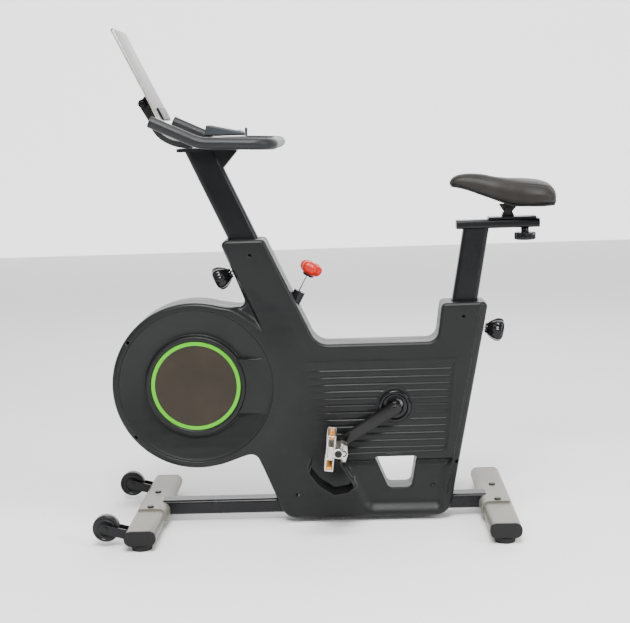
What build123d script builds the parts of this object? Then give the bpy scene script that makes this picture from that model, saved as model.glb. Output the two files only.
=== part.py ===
"""Upright indoor exercise bike, modelled in millimetres.

+Z is up, the rider faces -X and the origin is on the floor under the middle of the bike.
Every separate piece is one STEP file; pieces that move against each other are kept clear.
"""
from build123d import *
from math import cos, radians, sin
import os

os.makedirs("parts", exist_ok=True)
pieces = {}

# ---- driving dimensions -------------------------------------------------------------------
gap = 0.5                   # clearance between bodies that move past each other
running = 0.05              # radial clearance of a turning shaft in its bore

# base
stabilizer_length = 500.0
stabilizer_width = 78.0
stabilizer_height = 37.0
stabilizer_corner = 17.0
stabilizer_wall = 2.5
stabilizer_z = 34.5
front_x = -459.0
rear_x = 427.5
cap_thickness = 6.0
cap_plug = 18.0
saddle_plate_half = 82.0
saddle_plate_thickness = 5.0
rail_width = 50.0
rail_height = 38.0
rail_wall = 2.5
rail_z = 41.0
bolt_y = 66.0
bolt_radius = 4.0
foot_y = 220.0
foot_radius = 27.0
foot_height = 13.0
foot_stud_radius = 5.0
wheel_x = -549.3
wheel_y = 194.6
wheel_z = 47.5
wheel_radius = 33.7
wheel_half = 12.0
wheel_bore = 4.0
bracket_thickness = 4.0
bracket_gap = 2.0

# posts and their sleeves
front_lean = -24.1          # degrees from vertical, negative is towards the front
rear_lean = 9.8
front_top = (-199.0, 737.0)
rear_top = (356.5, 562.0)
front_post_size = (70.0, 36.0)
rear_post_size = (64.0, 34.0)
post_wall = 2.5
sleeve_room = 3.0           # space between a post and its sleeve, filled by the collar
sleeve_wall = 2.5
collar_clearance = 0.4
collar_top = -22.0
collar_bottom = -52.0
post_inside = 230.0         # length of a post that stands inside its sleeve
front_post_top_z = 957.0
seat_rail_bottom_z = 743.0

# drive train
crank_x, crank_z = 173.0, 303.0
crank_length = 170.0
crank_angle = 211.5         # direction of the left arm, degrees from +X towards +Z
axle_radius = 8.5
arm_inner, arm_outer = 63.0, 78.0
arm_root_radius = 17.0
arm_eye_radius = 14.0
shell_radius = 24.0
shell_half = 30.0
bearing_radius = 20.0
bearing_width = 8.0
belt_y = 33.5
belt_width = 8.0
belt_thickness = 2.5
big_pulley_radius = 88.0
small_pulley_radius = 20.0
flywheel_x, flywheel_z = -330.0, 368.0
flywheel_radius = 172.0
flywheel_half = 12.0
flywheel_axle_radius = 10.0
fork_thickness = 8.0

# housing
body_half = 50.0
drum_half = 60.0
drum_radius = 213.0
dish_radius = 197.0
housing_wall = 3.0
housing_bottom = 12.0
dish_floor = 48.0
dish_wall = 2.5
lip_radius = 128.0
ring_outer, ring_inner = 113.5, 104.2
cover_outer, cover_inner = 41.5, 21.0
screw_hole_radius = 4.6
screw_thread_radius = 2.0

# pedals
pedal_inner, pedal_outer = 86.0, 178.0
pedal_axle_radius = 6.0
spindle_body_radius = 13.0
pedal_front_angle = -97.0   # direction in which a hanging pedal points
cage_half = 45.0
platform_thickness = 20.0
platform_offset = -20.0     # from the axle to the middle of the platform, across its thickness
cage_window, cage_window_place = 24.0, 28.0

# handlebar, console and tablet
bar_radius = 14.0
bar_wall = 2.0
bar_half = 205.0
bar_rear_x, bar_z = -106.0, 973.0
bend_x, bend_z = -275.0, 980.0
horn_x, horn_z = -390.0, 1034.0
tilt_x, tilt_z = -434.0, 1079.0
tablet_length, tablet_width, tablet_thickness = 249.0, 180.0, 7.0
tablet_lean = -25.4
tablet_centre = (-436.0, 1147.5)

# seat
seat_rail_length, seat_rail_width, seat_rail_height = 203.0, 40.0, 22.0
seat_rail_x = 442.5
saddle_pivot_x, saddle_pivot_z = 468.0, 786.0
carriage_x = 478.0
saddle_half_width = 98.0


def lean_plane(top, lean, distance):
    """Plane across a leaning post, with its local x in the fore-and-aft direction."""
    up = (sin(radians(lean)), 0, cos(radians(lean)))
    across = (cos(radians(lean)), 0, -sin(radians(lean)))
    origin = (top[0] + up[0] * distance, 0, top[1] + up[2] * distance)
    return Plane(origin=origin, x_dir=across, z_dir=up)


def side_plane(y):
    """Vertical plane at one y, with its local axes along +X and +Z and its normal along -Y."""
    return Plane(origin=(0, y, 0), x_dir=(1, 0, 0), z_dir=(0, -1, 0))


def along(x, z, y_low, y_high, radius):
    """Round bar along Y between two y values."""
    with BuildPart() as bar:
        with BuildSketch(side_plane(y_high)):
            with Locations((x, z)):
                Circle(radius)
        extrude(amount=y_high - y_low)
    return bar.part


# ---- stabilizers, their caps, plates, bolts and feet ---------------------------------------
def stabilizer_outline(x, grow, y_low, y_high):
    """Flat-oval bar along Y with the outline of a stabilizer, grown by a distance."""
    with BuildPart() as bar:
        with BuildSketch(side_plane(y_high)):
            with Locations((x, stabilizer_z)):
                RectangleRounded(stabilizer_width + 2 * grow, stabilizer_height + 2 * grow,
                                 stabilizer_corner + grow)
        extrude(amount=y_high - y_low)
    return bar.part


tube_half = stabilizer_length / 2 - cap_thickness
stabilizer_top = stabilizer_z + stabilizer_height / 2
stabilizer_bottom = stabilizer_z - stabilizer_height / 2
stations = {"front": front_x, "rear": rear_x}

for name, x in stations.items():
    with BuildPart() as tube:
        add(stabilizer_outline(x, 0, -tube_half, tube_half))
        add(stabilizer_outline(x, -stabilizer_wall, -tube_half, tube_half), mode=Mode.SUBTRACT)
        for side in (-1, 1):
            with BuildSketch(Plane.XY):
                with Locations((x, side * foot_y)):
                    Circle(foot_stud_radius + running)
            extrude(amount=stabilizer_bottom + stabilizer_wall + 1, mode=Mode.SUBTRACT)
            with BuildSketch(Plane.XY):
                with Locations((x, side * bolt_y)):
                    Circle(bolt_radius)
            extrude(amount=stabilizer_top + 1, mode=Mode.SUBTRACT)
    pieces[f"{name}_stabilizer"] = tube.part

with BuildPart() as end_caps:
    for x in stations.values():
        for side in (-1, 1):
            outside = sorted((side * tube_half, side * stabilizer_length / 2))
            inside = sorted((side * (tube_half - cap_plug), side * tube_half))
            add(stabilizer_outline(x, 0, *outside))
            add(stabilizer_outline(x, -stabilizer_wall, *inside))
pieces["stabilizer_end_caps"] = end_caps.part

with BuildPart() as saddle_plates:
    for x, inward in ((front_x, 1), (rear_x, -1)):
        with BuildPart(mode=Mode.PRIVATE) as wrap:
            add(stabilizer_outline(x, saddle_plate_thickness, -saddle_plate_half, saddle_plate_half))
            add(stabilizer_outline(x, 0, -saddle_plate_half, saddle_plate_half), mode=Mode.SUBTRACT)
            keep_width = stabilizer_width / 2 + saddle_plate_thickness + 30
            with BuildSketch(side_plane(saddle_plate_half)):
                with Locations((x + inward * (keep_width / 2 - 30), stabilizer_z + 20)):
                    Rectangle(keep_width, 60)
            extrude(amount=2 * saddle_plate_half, mode=Mode.INTERSECT)
            with BuildSketch(Plane.XY):
                with Locations((x, -bolt_y), (x, bolt_y)):
                    Circle(bolt_radius)
            extrude(amount=100, mode=Mode.SUBTRACT)
        add(wrap.part)
pieces["saddle_plates"] = saddle_plates.part

with BuildPart() as base_rail:
    rail_start, rail_end = front_x + 25, rear_x - 25
    with BuildSketch(Plane.YZ.offset(rail_start)):
        with Locations((0, rail_z)):
            RectangleRounded(rail_width, rail_height, 8)
            RectangleRounded(rail_width - 2 * rail_wall, rail_height - 2 * rail_wall, 6,
                             mode=Mode.SUBTRACT)
    extrude(amount=rail_end - rail_start)
    for x in stations.values():
        add(stabilizer_outline(x, saddle_plate_thickness, -60, 60), mode=Mode.SUBTRACT)
pieces["base_rail"] = base_rail.part

with BuildPart() as fasteners:
    for x in stations.values():
        for side in (-1, 1):
            plate_top = stabilizer_top + saddle_plate_thickness
            with BuildSketch(Plane.XY.offset(plate_top)):
                with Locations((x, side * bolt_y)):
                    Circle(9)
            extrude(amount=4, taper=20)
            with BuildSketch(Plane.XY.offset(stabilizer_bottom - 7)):
                with Locations((x, side * bolt_y)):
                    Circle(bolt_radius)
            extrude(amount=plate_top - stabilizer_bottom + 7)
            with BuildSketch(Plane.XY.offset(stabilizer_bottom - 6)):
                with Locations((x, side * bolt_y)):
                    RegularPolygon(7.5, 6)
            extrude(amount=6)
    reach = wheel_half + bracket_gap + bracket_thickness
    for side in (-1, 1):
        centre = side * wheel_y
        add(along(wheel_x, wheel_z, centre - reach - 3, centre + reach + 3, wheel_bore))
        for end in (-1, 1):
            faces = sorted((centre + end * reach, centre + end * (reach + 3)))
            add(along(wheel_x, wheel_z, *faces, 7))
pieces["base_fasteners"] = fasteners.part

with BuildPart() as wheel_brackets:
    for side in (-1, 1):
        for end in (-1, 1):
            inner_face = side * wheel_y + end * (wheel_half + bracket_gap)
            outer_face = inner_face + end * bracket_thickness
            y_low, y_high = sorted((inner_face, outer_face))
            with BuildSketch(side_plane(y_high)):
                with Locations((wheel_x, wheel_z)):
                    Circle(12)
                with Locations((front_x - stabilizer_width / 2 - 2, stabilizer_z)):
                    Rectangle(8, 22)
                make_hull()
                with Locations((wheel_x, wheel_z)):
                    Circle(wheel_bore, mode=Mode.SUBTRACT)
            extrude(amount=y_high - y_low)
    add(stabilizer_outline(front_x, 0, -tube_half, tube_half), mode=Mode.SUBTRACT)
pieces["wheel_brackets"] = wheel_brackets.part

for name, x in stations.items():
    for side_name, side in (("left", -1), ("right", 1)):
        with BuildPart() as foot:
            with BuildSketch(Plane.XY):
                with Locations((x, side * foot_y)):
                    Circle(foot_radius - 3)
            with BuildSketch(Plane.XY.offset(foot_height)):
                with Locations((x, side * foot_y)):
                    Circle(foot_radius)
            loft()
            with BuildSketch(Plane.XY.offset(foot_height)):
                with Locations((x, side * foot_y)):
                    Circle(foot_stud_radius)
            extrude(amount=stabilizer_z - foot_height + 4)
        pieces[f"{name}_{side_name}_foot"] = foot.part

for side_name, side in (("left", -1), ("right", 1)):
    with BuildPart() as wheel:
        add(along(wheel_x, wheel_z, side * wheel_y - wheel_half, side * wheel_y + wheel_half,
                  wheel_radius))
        fillet(wheel.edges().filter_by(GeomType.CIRCLE), radius=4)
        for end in (-1, 1):
            faces = sorted((side * wheel_y + end * (wheel_half - 2), side * wheel_y + end * wheel_half))
            with BuildSketch(side_plane(faces[1])):
                with Locations((wheel_x, wheel_z)):
                    Circle(wheel_radius - 9)
                    Circle(11, mode=Mode.SUBTRACT)
            extrude(amount=2, mode=Mode.SUBTRACT)
        add(along(wheel_x, wheel_z, side * wheel_y - wheel_half, side * wheel_y + wheel_half,
                  wheel_bore + running), mode=Mode.SUBTRACT)
    pieces[f"{side_name}_wheel"] = wheel.part


# ---- leaning sleeves, collars and posts -----------------------------------------------------
def post_bar(top, lean, size, grow, low, high):
    """Rounded bar along a leaning post between two distances, grown by a distance."""
    with BuildPart() as bar:
        with BuildSketch(lean_plane(top, lean, low)):
            RectangleRounded(size[0] + 2 * grow, size[1] + 2 * grow, 12 + grow)
        extrude(amount=high - low)
    return bar.part


def cross_bar(top, lean, distance, start, end, radius):
    """Round bar square to a leaning post, from one distance off its axis to another."""
    direction = (cos(radians(lean)), 0, -sin(radians(lean)))
    base = lean_plane(top, lean, distance).origin
    origin = base + Vector(*direction) * start
    with BuildPart() as bar:
        with BuildSketch(Plane(origin=origin, x_dir=(0, 1, 0), z_dir=direction)):
            Circle(radius)
        extrude(amount=end - start)
    return bar.part


sleeve_grow = sleeve_room + sleeve_wall
front_drop = (front_top[1] - rail_z) / cos(radians(front_lean))
rear_drop = (rear_top[1] - rail_z) / cos(radians(rear_lean))
front_pin_s, rear_pin_s = -67.0, -63.0
pin_radius = 7.0
barrel_radius = 11.0
pin_knob_profile = ((0, 13), (8, 20), (28, 30), (38, 30), (45, 25))    # distance out, radius
rail_top = rail_z + rail_height / 2
fork_inner = front_post_size[1] / 2 + sleeve_grow
magnet_reach = front_post_size[0] / 2 + sleeve_grow + 11.69
magnet_point = lean_plane(front_top, front_lean, -212.18).from_local_coords((-magnet_reach, 0, 0))
magnet_pivot = (magnet_point.X, magnet_point.Z)
socket_lean = 28.6
socket_base = (-60.0, 597.0)

with BuildPart() as above_rail:
    with BuildSketch(Plane.XY.offset(rail_top)):
        Rectangle(2000, 400)
    extrude(amount=1500)

posts = {
    "front": (front_top, front_lean, front_post_size, front_drop, front_pin_s, -1),
    "rear": (rear_top, rear_lean, rear_post_size, rear_drop, rear_pin_s, 1),
}
screw_into_sleeve = {"front": [(-180.0, 697.0)], "rear": [(349.0, 528.0), (266.0, 90.0)]}

for name, (top, lean, size, drop, pin_s, outward) in posts.items():
    with BuildPart() as sleeve:
        add(post_bar(top, lean, size, sleeve_grow, -drop, collar_top))
        add(post_bar(top, lean, size, sleeve_room, -drop, collar_top), mode=Mode.SUBTRACT)
        add(above_rail.part, mode=Mode.INTERSECT)
        face = size[0] / 2
        span = sorted((outward * (face - 5), outward * (face + 20)))
        add(cross_bar(top, lean, pin_s, *span, pin_radius + gap), mode=Mode.SUBTRACT)
        for x, z in screw_into_sleeve[name]:
            add(along(x, z, -size[1] / 2 - sleeve_grow - 1, 0, screw_thread_radius), mode=Mode.SUBTRACT)
    pieces[f"{name}_sleeve"] = sleeve.part

with BuildPart() as collars:
    for top, lean, size, drop, pin_s, outward in posts.values():
        with BuildPart(mode=Mode.PRIVATE) as collar:
            add(post_bar(top, lean, size, sleeve_room, collar_bottom, collar_top))
            add(post_bar(top, lean, size, sleeve_grow, collar_top, collar_top + 4))
            add(post_bar(top, lean, size, collar_clearance, collar_bottom, collar_top + 4),
                mode=Mode.SUBTRACT)
        add(collar.part)
pieces["post_collars"] = collars.part

with BuildPart() as barrels:
    for top, lean, size, drop, pin_s, outward in posts.values():
        with BuildPart(mode=Mode.PRIVATE) as barrel:
            start = size[0] / 2 + sleeve_grow
            span = sorted((outward * start, outward * (start + 16)))
            add(cross_bar(top, lean, pin_s, *span, barrel_radius))
            add(cross_bar(top, lean, pin_s, *span, pin_radius + running), mode=Mode.SUBTRACT)
        add(barrel.part)
pieces["pin_barrels"] = barrels.part

for name, (top, lean, size, drop, pin_s, outward) in posts.items():
    tip = size[0] / 2 + gap
    neck = size[0] / 2 + 32
    with BuildPart() as knob:
        span = sorted((outward * tip, outward * (neck + 6)))
        add(cross_bar(top, lean, pin_s, *span, pin_radius))
        knob_dir = Vector(cos(radians(lean)), 0, -sin(radians(lean))) * outward
        base = lean_plane(top, lean, pin_s).origin + knob_dir * neck
        for (low, r_low), (high, r_high) in zip(pin_knob_profile, pin_knob_profile[1:]):
            with BuildSketch(Plane(origin=base + knob_dir * low, x_dir=(0, 1, 0), z_dir=knob_dir)):
                Circle(r_low)
            with BuildSketch(Plane(origin=base + knob_dir * high, x_dir=(0, 1, 0), z_dir=knob_dir)):
                Circle(r_high)
            loft()
    pieces[f"{name}_knob"] = knob.part

# ---- inner frame, bottom bracket and flywheel fork ------------------------------------------
with BuildPart() as frame_bridge:
    bridge_height, bridge_half, bridge_length = 36.0, 16.0, 340.0
    with BuildSketch(side_plane(bridge_half)):
        with Locations((crank_x - 16.5, crank_z)):
            Rectangle(bridge_length, bridge_height)
    extrude(amount=2 * bridge_half)
    add(along(crank_x, crank_z, -shell_half, shell_half, shell_radius))
    add(along(crank_x, crank_z, -shell_half, shell_half, axle_radius + 4), mode=Mode.SUBTRACT)
    for y_low, y_high in ((-shell_half, bearing_width - shell_half),
                          (shell_half - bearing_width, shell_half)):
        add(along(crank_x, crank_z, y_low, y_high, bearing_radius), mode=Mode.SUBTRACT)
    add(post_bar(front_top, front_lean, front_post_size, sleeve_grow, -front_drop, 0),
        mode=Mode.SUBTRACT)
    add(post_bar(rear_top, rear_lean, rear_post_size, sleeve_grow, -rear_drop, 0),
        mode=Mode.SUBTRACT)
    bridge_middle = frame_bridge.part.solids().sort_by(SortBy.VOLUME)[-1]
pieces["frame_bridge"] = Part(bridge_middle.wrapped)

fork_outer = fork_inner + fork_thickness
fork_root_high = lean_plane(front_top, front_lean, -330).origin
fork_root_low = lean_plane(front_top, front_lean, -440).origin
ear_inner = 19.0
with BuildPart() as fork_plates:
    for y_low, y_high in ((-fork_outer, -fork_inner), (fork_inner, fork_outer)):
        with BuildSketch(side_plane(y_high)):
            with Locations((flywheel_x, flywheel_z)):
                Circle(27)
            with Locations((fork_root_high.X, fork_root_high.Z), (fork_root_low.X, fork_root_low.Z)):
                Circle(14)
            make_hull()
            with Locations((flywheel_x, flywheel_z)):
                Circle(bearing_radius, mode=Mode.SUBTRACT)
        extrude(amount=y_high - y_low)
    for y_low, y_high in ((-ear_inner - 4, -ear_inner), (ear_inner, ear_inner + 4)):
        with BuildSketch(side_plane(y_high)):
            with Locations(magnet_pivot):
                Circle(9)
            with Locations((magnet_pivot[0] + 30, magnet_pivot[1])):
                Rectangle(4, 36)
            make_hull()
            with Locations(magnet_pivot):
                Circle(3, mode=Mode.SUBTRACT)
        extrude(amount=y_high - y_low)
    add(post_bar(front_top, front_lean, front_post_size, sleeve_grow, -front_drop, 0),
        mode=Mode.SUBTRACT)
pieces["fork_plates"] = fork_plates.part

with BuildPart() as bearings:
    for x, z, inner, y_low in (
        (crank_x, crank_z, axle_radius, -shell_half),
        (crank_x, crank_z, axle_radius, shell_half - bearing_width),
        (flywheel_x, flywheel_z, flywheel_axle_radius, -fork_outer),
        (flywheel_x, flywheel_z, flywheel_axle_radius, fork_inner),
    ):
        with BuildSketch(side_plane(y_low + bearing_width)):
            with Locations((x, z)):
                Circle(bearing_radius)
                Circle(inner + running, mode=Mode.SUBTRACT)
        extrude(amount=bearing_width)
pieces["bearings"] = bearings.part

# ---- crank, arms, pulleys, belt and flywheel -------------------------------------------------
left_eye = (crank_x + crank_length * cos(radians(crank_angle)),
            crank_z + crank_length * sin(radians(crank_angle)))
right_eye = (2 * crank_x - left_eye[0], 2 * crank_z - left_eye[1])
eyes = {"left": (left_eye, -1), "right": (right_eye, 1)}

with BuildPart() as crank_axle:
    add(along(crank_x, crank_z, -arm_outer, arm_outer, axle_radius))
    for side in (-1, 1):
        faces = sorted((side * arm_outer, side * (arm_outer + 2.5)))
        add(along(crank_x, crank_z, *faces, 11))
pieces["crank_axle"] = crank_axle.part

for name, (eye, side) in eyes.items():
    y_low, y_high = sorted((side * arm_inner, side * arm_outer))
    boss = sorted((side * (body_half + 2), side * (arm_inner + 4)))
    with BuildPart() as arm:
        with BuildSketch(side_plane(y_high)):
            with Locations((crank_x, crank_z)):
                Circle(arm_root_radius)
            with Locations(eye):
                Circle(arm_eye_radius)
            make_hull()
        extrude(amount=y_high - y_low)
        fillet(arm.edges().filter_by(Plane.XZ), radius=3)
        add(along(crank_x, crank_z, *boss, arm_root_radius - 1))
        add(along(crank_x, crank_z, -arm_outer - 1, arm_outer + 1, axle_radius), mode=Mode.SUBTRACT)
        add(along(*eye, y_low - 1, y_high + 1, pedal_axle_radius), mode=Mode.SUBTRACT)
    pieces[f"{name}_crank_arm"] = arm.part

with BuildPart() as pedal_axles:
    for eye, side in eyes.values():
        faces = sorted((side * arm_inner, side * (pedal_outer - 8)))
        flange = sorted((side * arm_outer, side * (arm_outer + 5)))
        add(along(*eye, *faces, pedal_axle_radius))
        add(along(*eye, *flange, 9))
pieces["pedal_axles"] = pedal_axles.part

with BuildPart() as crank_pulley:
    add(along(crank_x, crank_z, belt_y, belt_y + belt_width, big_pulley_radius))
    with BuildSketch(side_plane(belt_y + belt_width)):
        with Locations((crank_x, crank_z)):
            with PolarLocations(52, 5):
                Circle(21)
    extrude(amount=belt_width, mode=Mode.SUBTRACT)
    add(along(crank_x, crank_z, belt_y, belt_y + belt_width, axle_radius), mode=Mode.SUBTRACT)
pieces["crank_pulley"] = crank_pulley.part

with BuildPart() as flywheel_pulley:
    add(along(flywheel_x, flywheel_z, belt_y, belt_y + belt_width, small_pulley_radius))
    add(along(flywheel_x, flywheel_z, belt_y, belt_y + belt_width, flywheel_axle_radius),
        mode=Mode.SUBTRACT)
pieces["flywheel_pulley"] = flywheel_pulley.part

with BuildPart() as flywheel_axle:
    add(along(flywheel_x, flywheel_z, -fork_outer, belt_y + belt_width, flywheel_axle_radius))
pieces["flywheel_axle"] = flywheel_axle.part

with BuildPart() as flywheel:
    add(along(flywheel_x, flywheel_z, -flywheel_half, flywheel_half, flywheel_radius))
    for y_high in (-4.0, flywheel_half):
        with BuildSketch(side_plane(y_high)):
            with Locations((flywheel_x, flywheel_z)):
                Circle(flywheel_radius - 30)
                Circle(26, mode=Mode.SUBTRACT)
        extrude(amount=flywheel_half - 4, mode=Mode.SUBTRACT)
    add(along(flywheel_x, flywheel_z, -flywheel_half, flywheel_half, flywheel_axle_radius),
        mode=Mode.SUBTRACT)
pieces["flywheel"] = flywheel.part

with BuildPart() as drive_belt:
    for layer, mode in ((belt_thickness, Mode.ADD), (0.0, Mode.SUBTRACT)):
        with BuildSketch(side_plane(belt_y + belt_width)):
            with Locations((crank_x, crank_z)):
                Circle(big_pulley_radius + gap + layer)
            with Locations((flywheel_x, flywheel_z)):
                Circle(small_pulley_radius + gap + layer)
            make_hull()
        extrude(amount=belt_width, mode=mode)
pieces["drive_belt"] = drive_belt.part

with BuildPart() as magnet_arm:
    for y_low, y_high in ((-18.0, -15.0), (15.0, 18.0)):
        with BuildSketch(side_plane(y_high)):
            with Locations(magnet_pivot):
                Circle(9)
            with Locations((magnet_pivot[0] - 65, magnet_pivot[1] + 20)):
                Circle(16)
            with Locations((magnet_pivot[0] - 60, magnet_pivot[1] - 5)):
                Circle(14)
            make_hull()
        extrude(amount=y_high - y_low)
    with BuildSketch(side_plane(18)):
        with Locations((magnet_pivot[0] - 62, magnet_pivot[1] + 31)):
            Rectangle(26, 5)
    extrude(amount=36)
    add(along(*magnet_pivot, -ear_inner + 1, ear_inner - 1, 6.0))
    add(along(*magnet_pivot, -ear_inner - 4, ear_inner + 4, 3.0 - running))
pieces["magnet_arm"] = magnet_arm.part

# ---- resistance knob -------------------------------------------------------------------------
def rod_plane(distance):
    """Plane across the resistance rod, a distance up from where it leaves its socket."""
    up = (sin(radians(socket_lean)), 0, cos(radians(socket_lean)))
    origin = (socket_base[0] + up[0] * distance, 0, socket_base[1] + up[2] * distance)
    return Plane(origin=origin, x_dir=(0, 1, 0), z_dir=up)


rod_radius = 4.0
with BuildPart() as tension_socket:
    with BuildSketch(rod_plane(-36)):
        Circle(15)
        Circle(rod_radius + 1, mode=Mode.SUBTRACT)
    extrude(amount=36)
    with BuildSketch(rod_plane(-36)):
        Circle(rod_radius + 1)
        Circle(rod_radius + running, mode=Mode.SUBTRACT)
    extrude(amount=12)
    add(post_bar(front_top, front_lean, front_post_size, sleeve_grow, -front_drop, 0),
        mode=Mode.SUBTRACT)
pieces["tension_socket"] = tension_socket.part

with BuildPart() as tension_rod:
    with BuildSketch(rod_plane(-22)):
        Circle(rod_radius)
    extrude(amount=78)
pieces["tension_rod"] = tension_rod.part

with BuildPart() as tension_knob:
    tension_profile = ((44, 14), (50, 22), (56, 29), (70, 30), (78, 24), (82, 13))
    for (low, r_low), (high, r_high) in zip(tension_profile, tension_profile[1:]):
        with BuildSketch(rod_plane(low)):
            Circle(r_low)
        with BuildSketch(rod_plane(high)):
            Circle(r_high)
        loft()
    with BuildSketch(rod_plane(44)):
        Circle(rod_radius + running)
    extrude(amount=12 + running, mode=Mode.SUBTRACT)
pieces["tension_knob"] = tension_knob.part

# ---- housing shells --------------------------------------------------------------------------
outline = [(-258, 735), (-144, 735), (-20, 465), (283, 465), (296, 562), (414, 562), (307, 12),
           (-113, 12), (-184, 190), (-275, 166), (-330, 368), (-262, 568), (-192, 566)]
outline_radii = [14, 12, 46, 28, 14, 13, 46, 44, 22, 2, 2, 2, 14]
window = [(118, 171), (226, 171), (211, 86), (152, 86)]
window_radii = [3, 3, 15, 15]
full_screws = [(-81.0, 76.0), (327.5, 152.0)]
for angle in (145, 219):
    full_screws.append((flywheel_x + 204 * cos(radians(angle)), flywheel_z + 204 * sin(radians(angle))))


def housing_block(y_half, drum, shrink):
    """Half housing from the middle plane out to one side, all over or one wall smaller."""
    with BuildPart() as block:
        with BuildSketch(side_plane(0)):
            with BuildLine():
                FilletPolyline(*outline, radius=outline_radii, close=True)
            make_face()
            with Locations((flywheel_x, flywheel_z)):
                Circle(drum_radius)
            if shrink:
                offset(amount=-shrink)
        extrude(amount=y_half)
        if not shrink:
            fillet(block.faces().sort_by(Axis.Y)[0].edges(), radius=8)
        with BuildSketch(side_plane(0)):
            with Locations((flywheel_x, flywheel_z)):
                Circle(drum_radius - shrink)
        extrude(amount=drum)
    return block.part


def window_block(grow, y_half):
    """The opening through the lower housing, grown by a wall."""
    with BuildPart() as block:
        with BuildSketch(side_plane(0)):
            with BuildLine():
                FilletPolyline(*window, radius=window_radii, close=True)
            make_face()
            if grow:
                offset(amount=grow)
        extrude(amount=y_half)
    return block.part


with BuildPart() as left_housing:
    add(housing_block(body_half, drum_half, 0))
    fillet(left_housing.edges().filter_by(GeomType.CIRCLE).sort_by(Axis.Y)[0], radius=9)
    with BuildPart(mode=Mode.PRIVATE) as cavity:
        add(housing_block(body_half - housing_wall, drum_half - housing_wall, housing_wall))
        add(window_block(housing_wall, body_half), mode=Mode.SUBTRACT)
        for x, z in full_screws:
            add(along(x, z, -drum_half, 0, 7), mode=Mode.SUBTRACT)
        for x, z in screw_into_sleeve["front"] + screw_into_sleeve["rear"]:
            add(along(x, z, -drum_half, -25, 7), mode=Mode.SUBTRACT)
    add(cavity.part, mode=Mode.SUBTRACT)
    add(window_block(0, body_half + 1), mode=Mode.SUBTRACT)
    add(along(flywheel_x, flywheel_z, -drum_half - 1, -drum_half + 2 * housing_wall, dish_radius),
        mode=Mode.SUBTRACT)
    add(along(crank_x, crank_z, -drum_half, -20, cover_inner), mode=Mode.SUBTRACT)
    for x, z in full_screws:
        add(along(x, z, -drum_half - 1, -20, screw_hole_radius), mode=Mode.SUBTRACT)
        add(along(x, z, -21, 0, screw_thread_radius + 0.4), mode=Mode.SUBTRACT)
    for x, z in screw_into_sleeve["front"] + screw_into_sleeve["rear"]:
        add(along(x, z, -drum_half - 1, -34, screw_hole_radius), mode=Mode.SUBTRACT)
        add(along(x, z, -35, -20, screw_thread_radius + 0.4), mode=Mode.SUBTRACT)
    for top, lean, size, drop, pin_s, outward in posts.values():
        add(post_bar(top, lean, size, 1.5, -60, 40), mode=Mode.SUBTRACT)
        add(post_bar(top, lean, size, sleeve_grow + gap, -drop, collar_top + 5), mode=Mode.SUBTRACT)
        span = sorted((outward * 30, outward * 90))
        add(cross_bar(top, lean, pin_s, *span, barrel_radius + 1), mode=Mode.SUBTRACT)
    with BuildSketch(Plane.YZ.offset(-300)):
        with Locations((0, rail_z)):
            Rectangle(rail_width + 1, rail_height + 1)
    extrude(amount=700, mode=Mode.SUBTRACT)
    with BuildSketch(rod_plane(-40)):
        Circle(15.5)
    extrude(amount=80, mode=Mode.SUBTRACT)
    keep = left_housing.part.solids().sort_by(SortBy.VOLUME)[-1]
shell = Part(keep.wrapped)
pieces["left_housing"] = shell

with BuildPart() as right_housing:
    add(mirror(shell, about=Plane.XZ))
    for x, z in full_screws:
        add(along(x, z, 0, drum_half, 6))
        add(along(x, z, 0, 14, screw_thread_radius), mode=Mode.SUBTRACT)
    for x, z in screw_into_sleeve["front"] + screw_into_sleeve["rear"]:
        add(along(x, z, 34, body_half - 1, 5))
    for top, lean, size, drop, pin_s, outward in posts.values():
        add(post_bar(top, lean, size, sleeve_grow + gap, -drop, collar_top + 5), mode=Mode.SUBTRACT)
pieces["right_housing"] = right_housing.part

with BuildPart() as screws:
    for x, z in full_screws:
        add(along(x, z, -24, -20, screw_hole_radius - 0.4))
        add(along(x, z, -20, 13, screw_thread_radius))
    for x, z in screw_into_sleeve["front"] + screw_into_sleeve["rear"]:
        add(along(x, z, -38, -34, screw_hole_radius - 0.4))
        add(along(x, z, -34, -21.5, screw_thread_radius))
pieces["housing_screws"] = screws.part

# ---- flywheel covers, glow rings, centre discs, crank covers ---------------------------------
dish_section = [(0, dish_floor - dish_wall), (lip_radius, dish_floor - dish_wall),
                (dish_radius - 4, drum_half - 4), (dish_radius - gap, drum_half - 4),
                (dish_radius - gap, drum_half - 1), (dish_radius - 5, drum_half - 1.5),
                (lip_radius + 2, dish_floor), (lip_radius, dish_floor), (lip_radius, dish_floor + 7),
                (lip_radius - 5, dish_floor + 8), (ring_outer + 1, dish_floor + 7),
                (ring_outer + 1, dish_floor), (0, dish_floor)]
bridge_half_height = 70.0


def dish(side):
    """Concave cover of one side of the drum, with its lip and the flat bridge to the body."""
    with BuildPart() as cover:
        axis_plane = Plane(origin=(flywheel_x, 0, flywheel_z), x_dir=(1, 0, 0), z_dir=(0, 0, 1))
        with BuildSketch(axis_plane):
            with BuildLine():
                Polyline(*[(r, side * y) for r, y in dish_section], close=True)
            make_face()
        revolve(axis=Axis((flywheel_x, 0, flywheel_z), (0, 1, 0)))
        low, high = sorted((side * (dish_floor - 2), side * (drum_half - 3)))
        with BuildSketch(side_plane(high)):
            with Locations((flywheel_x, flywheel_z)):
                Circle(dish_radius - 6)
                Circle(lip_radius - 1, mode=Mode.SUBTRACT)
            with Locations((flywheel_x + 150, flywheel_z)):
                Rectangle(140, 2 * bridge_half_height, mode=Mode.INTERSECT)
        extrude(amount=high - low)
    return cover.part


for name, side in (("left", -1), ("right", 1)):
    pieces[f"{name}_dish"] = dish(side)

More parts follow.
